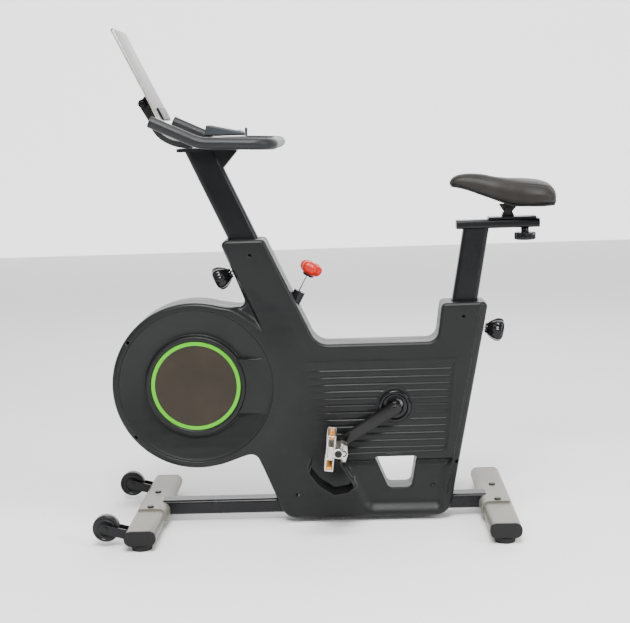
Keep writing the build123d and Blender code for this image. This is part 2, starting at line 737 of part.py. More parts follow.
with BuildPart() as glow_rings:
    for side in (-1, 1):
        low, high = sorted((side * dish_floor, side * (dish_floor + 5)))
        with BuildSketch(side_plane(high)):
            with Locations((flywheel_x, flywheel_z)):
                Circle(ring_outer)
                Circle(ring_inner, mode=Mode.SUBTRACT)
        extrude(amount=high - low)
pieces["glow_rings"] = glow_rings.part

with BuildPart() as centre_discs:
    for side in (-1, 1):
        low, high = sorted((side * dish_floor, side * (dish_floor + 3)))
        add(along(flywheel_x, flywheel_z, low, high, ring_inner))
pieces["centre_discs"] = centre_discs.part

with BuildPart() as crank_covers:
    for side in (-1, 1):
        low, high = sorted((side * body_half, side * (body_half + 9)))
        with BuildSketch(side_plane(high)):
            with Locations((crank_x, crank_z)):
                Circle(cover_outer)
                Circle(cover_inner, mode=Mode.SUBTRACT)
        extrude(amount=high - low)
    outer_rims = crank_covers.edges().filter_by(GeomType.CIRCLE).group_by(Axis.Y)
    fillet([e for e in outer_rims[0] + outer_rims[-1]], radius=4)
pieces["crank_covers"] = crank_covers.part


# ---- pedals and toe cages --------------------------------------------------------------------
def pedal_plane(eye, y, front):
    """Plane at one y of a pedal: local x points to its front, local y across its thickness."""
    direction = (cos(radians(front)), 0, sin(radians(front)))
    return Plane(origin=(eye[0], y, eye[1]), x_dir=direction, z_dir=(0, -1, 0))


def pedal_slab(eye, side, near, far):
    """Sketch plane and depth of a slab of a pedal between two distances from the middle."""
    y_low, y_high = sorted((side * near, side * far))
    return pedal_plane(eye, y_high, pedal_front_angle), y_high - y_low


toe_line = [(22, 5), (82, 50), (98, 34), (108, 0), (86, -42), (58, -68), (36, -64)]
toe_thickness = 3.5
toe_near, toe_far = 98.0, 170.0

for name, (eye, side) in eyes.items():
    with BuildPart() as pedal:
        window_places = [(cage_window_place, platform_offset), (-cage_window_place, platform_offset)]
        plane, depth = pedal_slab(eye, side, pedal_inner, pedal_outer)
        with BuildSketch(plane):
            with Locations((0, platform_offset)):
                RectangleRounded(2 * cage_half, platform_thickness, 4)
            with Locations(*window_places):
                RectangleRounded(cage_window, platform_thickness - 8, 3, mode=Mode.SUBTRACT)
        extrude(amount=depth)
        plane, depth = pedal_slab(eye, side, pedal_inner + 6, pedal_outer - 6)
        with BuildSketch(plane):
            with Locations(*window_places):
                Rectangle(cage_window + 2, platform_thickness + 2)
        extrude(amount=depth, mode=Mode.SUBTRACT)
        plane, depth = pedal_slab(eye, side, pedal_inner, pedal_outer)
        with BuildSketch(plane):
            Circle(spindle_body_radius)
            with Locations((0, platform_offset + 8)):
                Rectangle(2 * spindle_body_radius - 4, 4)
            make_hull()
        extrude(amount=depth)
        plane, depth = pedal_slab(eye, side, pedal_inner + 22, pedal_outer - 26)
        with BuildSketch(plane):
            with Locations((3, 12)):
                RectangleRounded(52, 20, 5)
        extrude(amount=depth)
        bore = sorted((side * (pedal_inner - 1), side * (pedal_outer - 8 + gap)))
        add(along(*eye, *bore, pedal_axle_radius + running), mode=Mode.SUBTRACT)
    pieces[f"{name}_pedal"] = pedal.part

    with BuildPart() as toe_cage:
        plane, depth = pedal_slab(eye, side, toe_near, toe_far)
        with BuildSketch(plane):
            with BuildLine():
                FilletPolyline(*toe_line, radius=10)
            trace(line_width=toe_thickness)
        extrude(amount=depth)
        add(pedal.part, mode=Mode.SUBTRACT)
    pieces[f"{name}_toe_cage"] = toe_cage.part

# ---- handlebar post, head, bars, console, meter and tablet -----------------------------------
front_rise = (front_post_top_z - front_top[1]) / cos(radians(front_lean))
with BuildPart() as handlebar_post:
    add(post_bar(front_top, front_lean, front_post_size, 0, -post_inside, front_rise + 40))
    add(post_bar(front_top, front_lean, front_post_size, -post_wall, -post_inside, front_rise + 40),
        mode=Mode.SUBTRACT)
    with BuildSketch(Plane.XY.offset(front_post_top_z)):
        with Locations((front_top[0] - 100, 0)):
            Rectangle(400, 200)
    extrude(amount=100, mode=Mode.SUBTRACT)
pieces["handlebar_post"] = handlebar_post.part

head_front, head_rear, head_half = -352.0, -203.0, 55.0
head_thickness = 8.0
with BuildPart() as post_head:
    with BuildSketch(side_plane(15)):
        with BuildLine():
            Polyline((-300, front_post_top_z), (head_rear, front_post_top_z), (-242, 912), (-262, 900),
                     close=True)
        make_face()
    extrude(amount=30)
    add(post_bar(front_top, front_lean, front_post_size, 0, 0, front_rise + 18), mode=Mode.SUBTRACT)
    with BuildSketch(Plane.XY.offset(front_post_top_z)):
        with Locations(((head_front + head_rear) / 2, 0)):
            RectangleRounded(head_rear - head_front, 2 * head_half, 12)
    extrude(amount=head_thickness)
pieces["post_head"] = post_head.part

loop_points = [(horn_x, -bar_half, horn_z), (bend_x, -bar_half, bend_z), (bar_rear_x, -bar_half, bar_z),
               (bar_rear_x, bar_half, bar_z), (bend_x, bar_half, bend_z), (horn_x, bar_half, horn_z)]
loop_radii = [90, 48, 48, 90]
horn_direction = Vector(bend_x - horn_x, 0, bend_z - horn_z).normalized()
with BuildPart() as handlebar:
    with BuildLine() as loop:
        FilletPolyline(*loop_points, radius=loop_radii)
    with BuildSketch(Plane(origin=loop_points[0], x_dir=(0, 1, 0), z_dir=horn_direction)):
        Circle(bar_radius)
        Circle(bar_radius - bar_wall, mode=Mode.SUBTRACT)
    sweep(path=loop.line)
    with BuildSketch(side_plane(bar_half - bar_radius + 1)):
        with Locations((bend_x, bend_z)):
            Circle(bar_radius - 1)
            Circle(bar_radius - 1 - bar_wall, mode=Mode.SUBTRACT)
    extrude(amount=2 * (bar_half - bar_radius + 1))
pieces["handlebar"] = handlebar.part

tray_half = 46.0
tray_low = [(-312, 967), (-345, 969), (-372, 979), (-394, 994), (-410, 1016), (-418, 1042)]
tray_high = [(-404, 1036), (-396, 1016), (-382, 1001), (-364, 990), (-342, 984), (-312, 984)]
ear_half = 14.0
with BuildPart() as console_tray:
    with BuildSketch(side_plane(tray_half)):
        with BuildLine():
            Spline(*tray_low)
            Line(tray_low[-1], tray_high[0])
            Spline(*tray_high)
            Line(tray_high[-1], tray_low[0])
        make_face()
    extrude(amount=2 * tray_half)
    for y_low, y_high in ((-ear_half - 4, -ear_half), (ear_half, ear_half + 4)):
        with BuildSketch(side_plane(y_high)):
            with Locations((tilt_x, tilt_z)):
                Circle(10)
            with Locations((-411, 1034)):
                Rectangle(12, 10)
            make_hull()
        extrude(amount=4)
    for side in (-1, 1):
        faces = sorted((side * (ear_half + 4), side * (ear_half + 12)))
        add(along(tilt_x, tilt_z, *faces, 10))
    add(along(tilt_x, tilt_z, -ear_half - 4, ear_half + 4, 3.5))
    add(along(bend_x, bend_z, -tray_half - 10, tray_half + 10, bar_radius), mode=Mode.SUBTRACT)
pieces["console_tray"] = console_tray.part

meter_front, meter_rear, meter_half = -282.0, -181.0, 50.0
meter_base_z = bend_z + bar_radius
with BuildPart() as meter:
    with BuildSketch(side_plane(meter_half)):
        with BuildLine():
            Polyline((meter_front, meter_base_z), (meter_front + 6, meter_base_z + 28),
                     (meter_rear, meter_base_z + 7), (meter_rear, meter_base_z), close=True)
        make_face()
    extrude(amount=2 * meter_half)
    fillet(meter.edges().filter_by(Axis.Y), radius=2)
    with BuildSketch(Plane.XY.offset(front_post_top_z + head_thickness)):
        with Locations((-228, -22), (-228, 22)):
            Rectangle(14, 10)
    extrude(amount=meter_base_z - front_post_top_z - head_thickness)
pieces["meter"] = meter.part


def tablet_plane(offset_out):
    """Plane on the tablet, local x along its length and its normal towards the rider."""
    lean = radians(tablet_lean)
    long_axis = (sin(lean), 0, cos(lean))
    normal = (cos(lean), 0, -sin(lean))
    origin = (tablet_centre[0] + normal[0] * offset_out, 0, tablet_centre[1] + normal[2] * offset_out)
    return Plane(origin=origin, x_dir=long_axis, z_dir=normal)


with BuildPart() as tablet:
    with BuildSketch(tablet_plane(-tablet_thickness / 2)):
        RectangleRounded(tablet_length, tablet_width, 10)
    extrude(amount=tablet_thickness)
    with BuildSketch(tablet_plane(tablet_thickness / 2)):
        with Locations((-tablet_length / 2 + 20, 0)):
            RectangleRounded(30, 120, 3)
    extrude(amount=5)
pieces["tablet"] = tablet.part

with BuildPart() as tablet_bracket:
    with BuildSketch(tablet_plane(-tablet_thickness / 2 - 4)):
        with Locations((-tablet_length / 2 + 62, 0)):
            RectangleRounded(58, 70, 5)
    extrude(amount=4)
    with BuildSketch(side_plane(ear_half - gap)):
        with Locations((tilt_x, tilt_z)):
            Circle(9)
        back = tablet_plane(-tablet_thickness / 2 - 2)
        with Locations((back.origin.X - sin(radians(tablet_lean)) * 55, back.origin.Z - 55)):
            Rectangle(3, 26, rotation=-tablet_lean)
        make_hull()
        with Locations((tilt_x, tilt_z)):
            Circle(3.5 + running, mode=Mode.SUBTRACT)
    extrude(amount=2 * (ear_half - gap))
    add(tablet.part, mode=Mode.SUBTRACT)
pieces["tablet_bracket"] = tablet_bracket.part

# ---- seat post, rail, carriage and saddle ----------------------------------------------------
rear_rise = (seat_rail_bottom_z - rear_top[1]) / cos(radians(rear_lean))
with BuildPart() as seat_post:
    add(post_bar(rear_top, rear_lean, rear_post_size, 0, -post_inside, rear_rise + 30))
    add(post_bar(rear_top, rear_lean, rear_post_size, -post_wall, -post_inside, rear_rise + 30),
        mode=Mode.SUBTRACT)
    with BuildSketch(Plane.XY.offset(seat_rail_bottom_z)):
        with Locations((rear_top[0], 0)):
            Rectangle(400, 200)
    extrude(amount=100, mode=Mode.SUBTRACT)
pieces["seat_post"] = seat_post.part

rail_top_z = seat_rail_bottom_z + seat_rail_height
slot_half_length, slot_radius = 42.0, 5.5
clamp_x = 511.0
clamp_travel = 28.0
with BuildPart() as seat_rail:
    with BuildSketch(Plane.YZ.offset(seat_rail_x - seat_rail_length / 2)):
        with Locations((0, seat_rail_bottom_z + seat_rail_height / 2)):
            RectangleRounded(seat_rail_width, seat_rail_height, 7)
            RectangleRounded(seat_rail_width - 5, seat_rail_height - 5, 5, mode=Mode.SUBTRACT)
    extrude(amount=seat_rail_length)
    with BuildSketch(Plane.XY.offset(seat_rail_bottom_z - 1)):
        with Locations((clamp_x - 11, 0)):
            SlotOverall(2 * slot_half_length, 2 * slot_radius)
    extrude(amount=seat_rail_height + 2, mode=Mode.SUBTRACT)
pieces["seat_rail"] = seat_rail.part

plate_bottom = rail_top_z + gap
plate_thickness = 5.5
with BuildPart() as seat_carriage:
    with BuildSketch(Plane.XY.offset(plate_bottom)):
        with Locations((carriage_x, 0)):
            RectangleRounded(120, 44, 6)
    extrude(amount=plate_thickness)
    with BuildSketch(side_plane(8)):
        with Locations((saddle_pivot_x, saddle_pivot_z)):
            Circle(8.5)
        with Locations((saddle_pivot_x, plate_bottom + plate_thickness + 2)):
            Rectangle(30, 4)
        make_hull()
    extrude(amount=16)
    add(along(saddle_pivot_x, saddle_pivot_z, -9, 9, 5 + running), mode=Mode.SUBTRACT)
    with BuildSketch(Plane.XY.offset(seat_rail_bottom_z - 18)):
        with Locations((clamp_x, 0)):
            Circle(4.5)
    extrude(amount=plate_bottom - seat_rail_bottom_z + 18)
pieces["seat_carriage"] = seat_carriage.part

with BuildPart() as carriage_knob:
    knob_top = seat_rail_bottom_z - gap
    with BuildSketch(Plane.XY.offset(knob_top - 12)):
        with Locations((clamp_x, 0)):
            Circle(10)
    extrude(amount=12)
    with BuildSketch(Plane.XY.offset(knob_top - 31)):
        with Locations((clamp_x, 0)):
            Circle(27)
    extrude(amount=19)
    with BuildSketch(Plane.XY.offset(seat_rail_bottom_z - 18 - 1)):
        with Locations((clamp_x, 0)):
            Circle(4.5 + running)
    extrude(amount=20, mode=Mode.SUBTRACT)
pieces["carriage_knob"] = carriage_knob.part

saddle_top = [(323, 857), (333, 873), (352, 880), (375, 881), (413, 877), (450, 870), (500, 866),
              (549, 860), (571, 853), (582, 838), (583, 822), (576, 807)]
saddle_under = [(574, 806), (537, 804), (499, 804), (474, 805), (457, 810), (437, 818), (400, 832),
                (350, 850), (328, 854)]
pan_thickness = 5.0


def saddle_plan():
    """Plan outline of the saddle, narrow at the nose and wide at the back."""
    half = [(323, 10), (330, 22), (380, 28), (430, 38), (480, 66), (525, 92), (560, saddle_half_width),
            (578, 84), (583, 50)]
    return half


with BuildPart() as saddle_cushion:
    with BuildSketch(side_plane(saddle_half_width + 5)):
        with BuildLine():
            Spline(*saddle_top)
            Line(saddle_top[-1], saddle_under[0])
            Spline(*saddle_under)
            Line(saddle_under[-1], saddle_top[0])
        make_face()
    extrude(amount=2 * saddle_half_width + 10)
    with BuildSketch(Plane.XY.offset(790)):
        with BuildLine():
            half = saddle_plan()
            Spline(*half)
            Line(half[-1], (half[-1][0], -half[-1][1]))
            Spline(*[(x, -y) for x, y in half])
            Line((half[0][0], -half[0][1]), half[0])
        make_face()
    extrude(amount=110, mode=Mode.INTERSECT)
pieces["saddle_cushion"] = saddle_cushion.part

with BuildPart() as saddle_pan:
    with BuildSketch(side_plane(saddle_half_width)):
        with BuildLine():
            lower = [(x, z - pan_thickness) for x, z in reversed(saddle_under)]
            Spline(*saddle_under)
            Line(saddle_under[-1], lower[0])
            Spline(*lower)
            Line(lower[-1], saddle_under[0])
        make_face()
    extrude(amount=2 * saddle_half_width)
    with BuildSketch(Plane.XY.offset(780)):
        with BuildLine():
            half = [(x, y * 0.9) for x, y in saddle_plan()]
            Spline(*half)
            Line(half[-1], (half[-1][0], -half[-1][1]))
            Spline(*[(x, -y) for x, y in half])
            Line((half[0][0], -half[0][1]), half[0])
        make_face()
    extrude(amount=110, mode=Mode.INTERSECT)
    for y_low, y_high in ((-13.0, -9.0), (9.0, 13.0)):
        with BuildSketch(side_plane(y_high)):
            with Locations((saddle_pivot_x, saddle_pivot_z)):
                Circle(9)
            with Locations((saddle_pivot_x + 2, 801)):
                Rectangle(44, 2)
            make_hull()
        extrude(amount=4)
    add(along(saddle_pivot_x, saddle_pivot_z, -18, 18, 5))
    for side in (-1, 1):
        faces = sorted((side * 13, side * 18))
        add(along(saddle_pivot_x, saddle_pivot_z, *faces, 8.5))
pieces["saddle_pan"] = saddle_pan.part

# ---- write every piece -----------------------------------------------------------------------
for label, piece in pieces.items():
    piece.label = label
    export_step(piece, f"parts/{label}.step")
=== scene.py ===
"""Looks of an upright indoor exercise bike, built around its fixed frame.

+Z is up, the rider faces -X and the camera side is -Y. Each section below makes one piece, or one
group of like pieces, in the order in which the bike is put together. Sizes are millimetres, and a
mesh is turned into metres when it is made; only the studio's own sizes are metres.
"""
from math import cos, pi, radians, sin
import bmesh
import bpy
import numpy as np
from mathutils import Matrix, Vector


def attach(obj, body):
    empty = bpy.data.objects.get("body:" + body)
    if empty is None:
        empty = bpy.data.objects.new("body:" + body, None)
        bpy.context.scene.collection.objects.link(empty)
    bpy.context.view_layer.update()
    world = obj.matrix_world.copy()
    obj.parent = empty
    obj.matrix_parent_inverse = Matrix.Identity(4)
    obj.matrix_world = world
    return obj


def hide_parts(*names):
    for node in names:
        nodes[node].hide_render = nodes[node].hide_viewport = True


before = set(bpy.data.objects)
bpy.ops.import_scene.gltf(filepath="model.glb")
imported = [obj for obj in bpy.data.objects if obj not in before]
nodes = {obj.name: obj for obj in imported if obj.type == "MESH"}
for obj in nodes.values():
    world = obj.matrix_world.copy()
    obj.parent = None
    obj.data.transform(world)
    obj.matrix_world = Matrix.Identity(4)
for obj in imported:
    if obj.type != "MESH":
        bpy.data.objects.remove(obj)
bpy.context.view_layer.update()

# ---- studio: camera, floor and lights -------------------------------------------------------
# A pale floor with a bright sheet far behind it, under soft boxes, as in a product picture. The
# camera stands level with the handlebar on the rider's left, turned a little to the front and down.
camera_place = Vector((0.0782, -3.1987, 1.0249))
camera_yaw, camera_pitch, camera_roll = radians(1.817), radians(8.564), radians(1.887)
camera_data = bpy.data.cameras.new("camera")
camera_data.sensor_width = 36
camera_data.lens = 72.57
camera_data.clip_end = 60
camera = bpy.data.objects.new("camera", camera_data)
camera.matrix_world = (Matrix.Translation(camera_place) @ Matrix.Rotation(camera_yaw, 4, "Z")
                       @ Matrix.Rotation(pi / 2 - camera_pitch, 4, "X")
                       @ Matrix.Rotation(-camera_roll, 4, "Z"))
bpy.context.scene.collection.objects.link(camera)
bpy.context.scene.camera = camera


def new_finish(name):
    """A new material with a plain, softly reflecting shader: returns material, nodes, links, shader."""
    material = bpy.data.materials.new(name)
    material.use_nodes = True
    tree = material.node_tree
    shader = tree.nodes["Principled BSDF"]
    shader.inputs["Specular IOR Level"].default_value = 0.25
    return material, tree.nodes, tree.links, shader


def put(shade, kind, **values):
    """A new node of one kind with its named inputs set; an underscore in a name stands for a space."""
    node = shade.new("ShaderNode" + kind)
    for name, value in values.items():
        node.inputs[name.replace("_", " ")].default_value = value
    return node


def tones(shade, dark, light, places=(0.3, 0.7)):
    """A ramp between two colours that stand at two places."""
    ramp = shade.new("ShaderNodeValToRGB")
    for stop, place, colour in zip(ramp.color_ramp.elements, places, (dark, light)):
        stop.position = place
        stop.color = (*[min(1, c) for c in colour], 1)
    return ramp


def times(colour, share, lift=0.0):
    """A colour made darker or lighter."""
    return [share * c + lift for c in colour]


def wire(links, *routes):
    """Joins sockets: each route is a node, its output's name, another node and its input's name."""
    for source, outlet, target, inlet in routes:
        links.new(source.outputs[outlet], target.inputs[inlet])


def grid_faces(rows, columns, wrap_rows=False, wrap_columns=True):
    """Quads of a grid of points in rows, joined round at the ends where it wraps."""
    i, j = np.meshgrid(np.arange(rows - (not wrap_rows)), np.arange(columns - (not wrap_columns)),
                       indexing="ij")
    m, k = (i + 1) % rows, (j + 1) % columns
    quads = np.stack([i * columns + j, m * columns + j, m * columns + k, i * columns + k], -1)
    return quads.reshape(-1, 4)


def stage_object(name, points, faces, material):
    """A plain mesh of the studio, in metres."""
    mesh = bpy.data.meshes.new(name)
    mesh.from_pydata(points, [], faces)
    mesh.materials.append(material)
    piece = bpy.data.objects.new(name, mesh)
    bpy.context.scene.collection.objects.link(piece)
    return piece


def studio_floor(radii):
    """A round pale floor: rings of points at growing radii, all at floor height."""
    ring, turn = np.meshgrid(radii, np.linspace(0, 2 * pi, 64, endpoint=False), indexing="ij")
    points = np.stack([ring * np.cos(turn), ring * np.sin(turn), 0 * ring], -1).reshape(-1, 3)
    rows, columns = ring.shape
    faces = grid_faces(rows, columns).tolist() + [list(range(columns))]
    material, shade, links, shader = new_finish("floor_paper")
    coordinates = put(shade, "TexCoord")
    noise = put(shade, "TexNoise", Scale=3)
    tone = tones(shade, (0.93, 0.93, 0.93), (0.96, 0.96, 0.96), (0, 1))
    wire(links, (coordinates, "Object", noise, "Vector"), (noise, "Fac", tone, "Fac"),
         (tone, "Color", shader, "Base Color"))
    shader.inputs["Roughness"].default_value = 0.8
    return stage_object("floor", points.tolist(), faces, material)


studio_floor((0.02, 2.0, 6.0, 14.0, 40.0))


def lit_backdrop(distance, half_width, height, brightness):
    """A bright upright sheet far behind the object, which lights its upper edges from the back."""
    corners = [(-half_width, distance, 0), (half_width, distance, 0), (half_width, distance, height),
               (-half_width, distance, height)]
    material, _, _, shader = new_finish("backdrop_cloth")
    shader.inputs["Emission Color"].default_value = (1.0, 1.0, 1.0, 1)
    shader.inputs["Emission Strength"].default_value = brightness
    return stage_object("backdrop", corners, [(0, 1, 2, 3)], material)


lit_backdrop(7.0, 38.0, 14.0, 1.7)


def soft_box(name, place, aim, width, height, power):
    """A rectangular area light at one place, turned to face a point."""
    light = bpy.data.lights.new(name, "AREA")
    light.shape = "RECTANGLE"
    light.size, light.size_y = width, height
    light.energy = power
    lamp = bpy.data.objects.new(name, light)
    lamp.location = place
    lamp.rotation_euler = (Vector(aim) - Vector(place)).to_track_quat("-Z", "Y").to_euler()
    bpy.context.scene.collection.objects.link(lamp)


soft_box("overhead_box", (0.3, -0.9, 3.6), (0, 0, 0.4), 2.0, 1.2, 90)
soft_box("high_front_box", (-0.2, -2.6, 3.0), (0, 0, 0.4), 1.4, 0.9, 170)
soft_box("front_box", (-2.4, -2.8, 2.2), (-0.1, 0, 0.5), 1.0, 1.6, 16)
soft_box("rear_box", (3.0, -2.2, 1.8), (0.2, 0, 0.6), 0.8, 1.8, 85)
soft_box("back_box", (0.3, 3.0, 2.2), (0, 0, 0.3), 3.2, 1.6, 30)
world = bpy.data.worlds.new("studio")
world.use_nodes = True
world.node_tree.nodes["Background"].inputs["Color"].default_value = (1.0, 1.0, 1.0, 1)
world.node_tree.nodes["Background"].inputs["Strength"].default_value = 0.36
bpy.context.scene.world = world

# ---- base: rail, stabilizers, bolts and feet -----------------------------------------------
# Welded steel tube under a gloss black powder coat, and two flat-oval stabilizers in a warm silver
# coat, bolted on through folded plates. Both coats have a fine orange peel and patchy gloss.


def coated_metal(name, colour, roughness, peel, metallic=0.0, grain_scale=520):
    """Sprayed coat: two sizes of noise give a fine peel, patchy gloss and a slight change of tone."""
    material, shade, links, shader = new_finish(name)
    coordinates = put(shade, "TexCoord")
    cloud = put(shade, "TexNoise", Scale=9, Detail=4)
    grain = put(shade, "TexNoise", Scale=grain_scale, Detail=2)
    tone = tones(shade, times(colour, 0.84), times(colour, 1.12))
    gloss = put(shade, "MapRange", To_Min=roughness - 0.05, To_Max=roughness + 0.07)
    bump = put(shade, "Bump", Strength=peel, Distance=0.0004)
    wire(links, (coordinates, "Object", cloud, "Vector"), (coordinates, "Object", grain, "Vector"),
         (cloud, "Fac", tone, "Fac"), (tone, "Color", shader, "Base Color"),
         (cloud, "Fac", gloss, "Value"), (gloss, "Result", shader, "Roughness"),
         (grain, "Fac", bump, "Height"), (bump, "Normal", shader, "Normal"))
    shader.inputs["Metallic"].default_value = metallic
    return material


def moulded_plastic(name, colour, roughness, depth, pebble_scale=900, wear=0.05):
    """Textured plastic: small cells for the mould's spark grain, long faint rubs in the gloss, and a
    dusty tone that gathers in patches."""
    material, shade, links, shader = new_finish(name)
    coordinates = put(shade, "TexCoord")
    pebble = put(shade, "TexVoronoi", Scale=pebble_scale)
    stretch = put(shade, "Mapping", Rotation=(0.2, 0.5, 0.3), Scale=(6, 40, 90))
    rubs = put(shade, "TexNoise", Scale=1.0, Detail=5)
    dust = put(shade, "TexNoise", Scale=5, Detail=6)
    tone = tones(shade, times(colour, 0.85), times(colour, 1.14, 0.002), (0.32, 0.72))
    gloss = put(shade, "MapRange", From_Min=0.35, From_Max=0.65, To_Min=roughness - wear,
                To_Max=roughness + wear)
    bump = put(shade, "Bump", Strength=depth, Distance=0.0003)
    wire(links, (coordinates, "Object", pebble, "Vector"), (coordinates, "Object", dust, "Vector"),
         (coordinates, "Object", stretch, "Vector"), (stretch, "Vector", rubs, "Vector"),
         (dust, "Fac", tone, "Fac"), (tone, "Color", shader, "Base Color"),
         (rubs, "Fac", gloss, "Value"), (gloss, "Result", shader, "Roughness"),
         (pebble, "Distance", bump, "Height"), (bump, "Normal", shader, "Normal"))
    return material


def brushed_metal(name, colour, roughness, stretch_by, marks):
    """Bare metal with machining lines: noise drawn out along one direction, in tone, gloss and bump."""
    material, shade, links, shader = new_finish(name)
    coordinates = put(shade, "TexCoord")
    stretch = put(shade, "Mapping", Scale=stretch_by)
    lines = put(shade, "TexNoise", Scale=1.0, Detail=6)
    tone = tones(shade, times(colour, 0.75), colour)
    gloss = put(shade, "MapRange", To_Min=roughness - 0.08, To_Max=roughness + 0.12)
    bump = put(shade, "Bump", Strength=marks, Distance=0.0003)
    wire(links, (coordinates, "Object", stretch, "Vector"), (stretch, "Vector", lines, "Vector"),
         (lines, "Fac", tone, "Fac"), (tone, "Color", shader, "Base Color"),
         (lines, "Fac", gloss, "Value"), (gloss, "Result", shader, "Roughness"),
         (lines, "Fac", bump, "Height"), (bump, "Normal", shader, "Normal"))
    shader.inputs["Metallic"].default_value = 1.0
    return material


def dress(material, *names):
    """Puts one material on CAD pieces."""
    for name in names:
        mesh = nodes[name].data
        mesh.materials.clear()
        mesh.materials.append(material)


black_coat = coated_metal("black_coat", (0.006, 0.006, 0.007), 0.24, 0.2)
dress(black_coat, "base_rail", "wheel_brackets", "front_sleeve", "rear_sleeve", "frame_bridge",
      "fork_plates", "tension_socket", "pin_barrels")
silver_coat = coated_metal("silver_coat", (0.17, 0.16, 0.135), 0.34, 0.2, 0.15)
dress(silver_coat, "front_stabilizer", "rear_stabilizer", "saddle_plates")
black_moulding = moulded_plastic("black_moulding", (0.007, 0.007, 0.007), 0.42, 0.35)
dress(black_moulding, "stabilizer_end_caps", "post_collars", "left_toe_cage", "right_toe_cage",
      "tablet_bracket", "saddle_pan", "console_tray")
foot_rubber = moulded_plastic("foot_rubber", (0.012, 0.012, 0.012), 0.7, 0.6, 500)
dress(foot_rubber, "front_left_foot", "front_right_foot", "rear_left_foot", "rear_right_foot",
      "drive_belt")
black_steel = coated_metal("black_steel", (0.02, 0.02, 0.02), 0.3, 0.3, 0.6)
dress(black_steel, "base_fasteners", "housing_screws")
bare_steel = brushed_metal("bare_steel", (0.42, 0.42, 0.43), 0.32, (40, 400, 40), 0.3)
dress(bare_steel, "bearings", "flywheel", "flywheel_axle", "flywheel_pulley", "crank_pulley",
      "pedal_axles", "magnet_arm")

# ---- transport wheels ----------------------------------------------------------------------
# Hard black wheels moulded in one piece: a crowned tread, a dished web with raised rings and a
# boss that turns on the bracket's bolt.


def surface_object(name, points, faces, material, body, mend=True):
    """A smooth mesh object from arrays of points and faces, riding on a body. Mending merges doubles
    and turns every face outwards."""
    mesh = bpy.data.meshes.new(name)
    mesh.from_pydata((np.asarray(points, float) * 0.001).tolist(), [], [list(map(int, f)) for f in faces])
    if mend:
        work = bmesh.new()
        work.from_mesh(mesh)
        bmesh.ops.remove_doubles(work, verts=work.verts, dist=0.000004)
        bmesh.ops.recalc_face_normals(work, faces=work.faces)
        work.to_mesh(mesh)
        work.free()
    mesh.polygons.foreach_set("use_smooth", np.ones(len(mesh.polygons), bool))
    mesh.set_sharp_from_angle(angle=radians(42))
    mesh.materials.append(material)
    piece = bpy.data.objects.new(name, mesh)
    bpy.context.scene.collection.objects.link(piece)
    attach(piece, body)
    return piece


def mirrored(points, faces):
    """The same surface again on the other side of the middle plane."""
    count = len(points)
    return (np.concatenate([points, points * (1, -1, 1)]),
            np.concatenate([faces, np.asarray(faces)[:, ::-1] + count]))


def turned(profile, centre, axis, turns=72, lobes=0, loop=False):
    """A turned shape: each row of the profile gives a radius, a distance along the axis and how far the
    hollows between the lobes cut in there. The radius is carried round the axis."""
    rows = np.array([(*row, 0.0)[:3] for row in profile], float)
    axis = np.array(axis, float) / np.linalg.norm(axis)
    side = np.cross(axis, (0, 1, 0) if abs(axis[1]) < 0.7 else (1, 0, 0))
    side /= np.linalg.norm(side)
    angle = np.linspace(0, 2 * pi, turns, endpoint=False)
    radius = rows[:, :1] - rows[:, 2:] * (0.5 - 0.5 * np.cos(lobes * angle))
    spoke = np.cos(angle)[:, None] * side + np.sin(angle)[:, None] * np.cross(axis, side)
    points = np.array(centre, float) + rows[:, 1, None, None] * axis + radius[..., None] * spoke
    return points.reshape(-1, 3), grid_faces(len(rows), turns, wrap_rows=loop)


wheel_place, wheel_y = (-549.3, 47.5), 194.6
wheel_half_section = [(4.2, 12), (8.6, 12), (9.8, 11.4), (10.4, 10.2), (12.4, 9.6), (17.0, 9.6), (18.2, 10.6),
                      (20.6, 10.8), (21.6, 9.7), (24.4, 9.5), (26.4, 10.4), (27.6, 11.6), (30.2, 12),
                      (32.2, 11.2), (33.2, 9.2), (33.7, 5.0)]
wheel_section = wheel_half_section + [(r, -y) for r, y in reversed(wheel_half_section)]
wheel_plastic = moulded_plastic("wheel_plastic", (0.012, 0.012, 0.013), 0.22, 0.15)
for side_name, side in (("left", -1), ("right", 1)):
    rolled = turned(wheel_section, (wheel_place[0], side * wheel_y, wheel_place[1]), (0, 1, 0), 80, loop=True)
    wheel = surface_object(f"{side_name}_roller", *rolled, wheel_plastic, f"{side_name}_wheel_body")
    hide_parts(f"{side_name}_wheel")

# ---- housing shells -------------------------------------------------------------------------
# Two blow-formed halves of dark grey plastic that meet in the middle plane and are screwed
# together. Each face swells towards the drum, is sunk round the window and in the ribbed panel,
# falls away in a bevel along the rear edge, and rolls over at its outline.
drum_x, drum_z, drum_radius, dish_radius = -330.0, 368.0, 213.0, 197.0
crank_x, crank_z = 173.0, 303.0
housing_corners = [(-258, 735, 14), (-144, 735, 12), (-20, 465, 46), (283, 465, 28), (296, 562, 14),
                   (414, 562, 13), (307, 12, 46), (-113, 12, 44), (-184, 190, 22), (-275, 166, 2),
                   (-330, 368, 2), (-262, 568, 2), (-192, 566, 14)]
window_corners = [(118, 171, 4), (226, 171, 4), (211, 86, 15), (152, 86, 15)]
recess_corners = [(22, 167, 14), (322, 167, 6), (299, 19, 34), (88, 19, 42)]
panel_corners = [(-140, 421, 10), (331, 421, 4), (307, 179, 26), (-140, 172, 10)]
seam_start, seam_end = (-246.0, 720.0), (-161.0, 533.0)
rear_foot, rear_top = (307, 12), (414, 562)
face_level, edge_roll, window_roll = 50, 9, 4
drum_swell, swell_reach = 9, 80
seam_step, seam_width = 13, 9
bevel_width, bevel_drop = 19.0, 9.0
recess_depth = 13.0
rib_pitch, rib_depth, rib_width = 18.3, 2.0, 3.4
lip_height, lip_width, panel_sink = 1.3, 3.5, 1.5
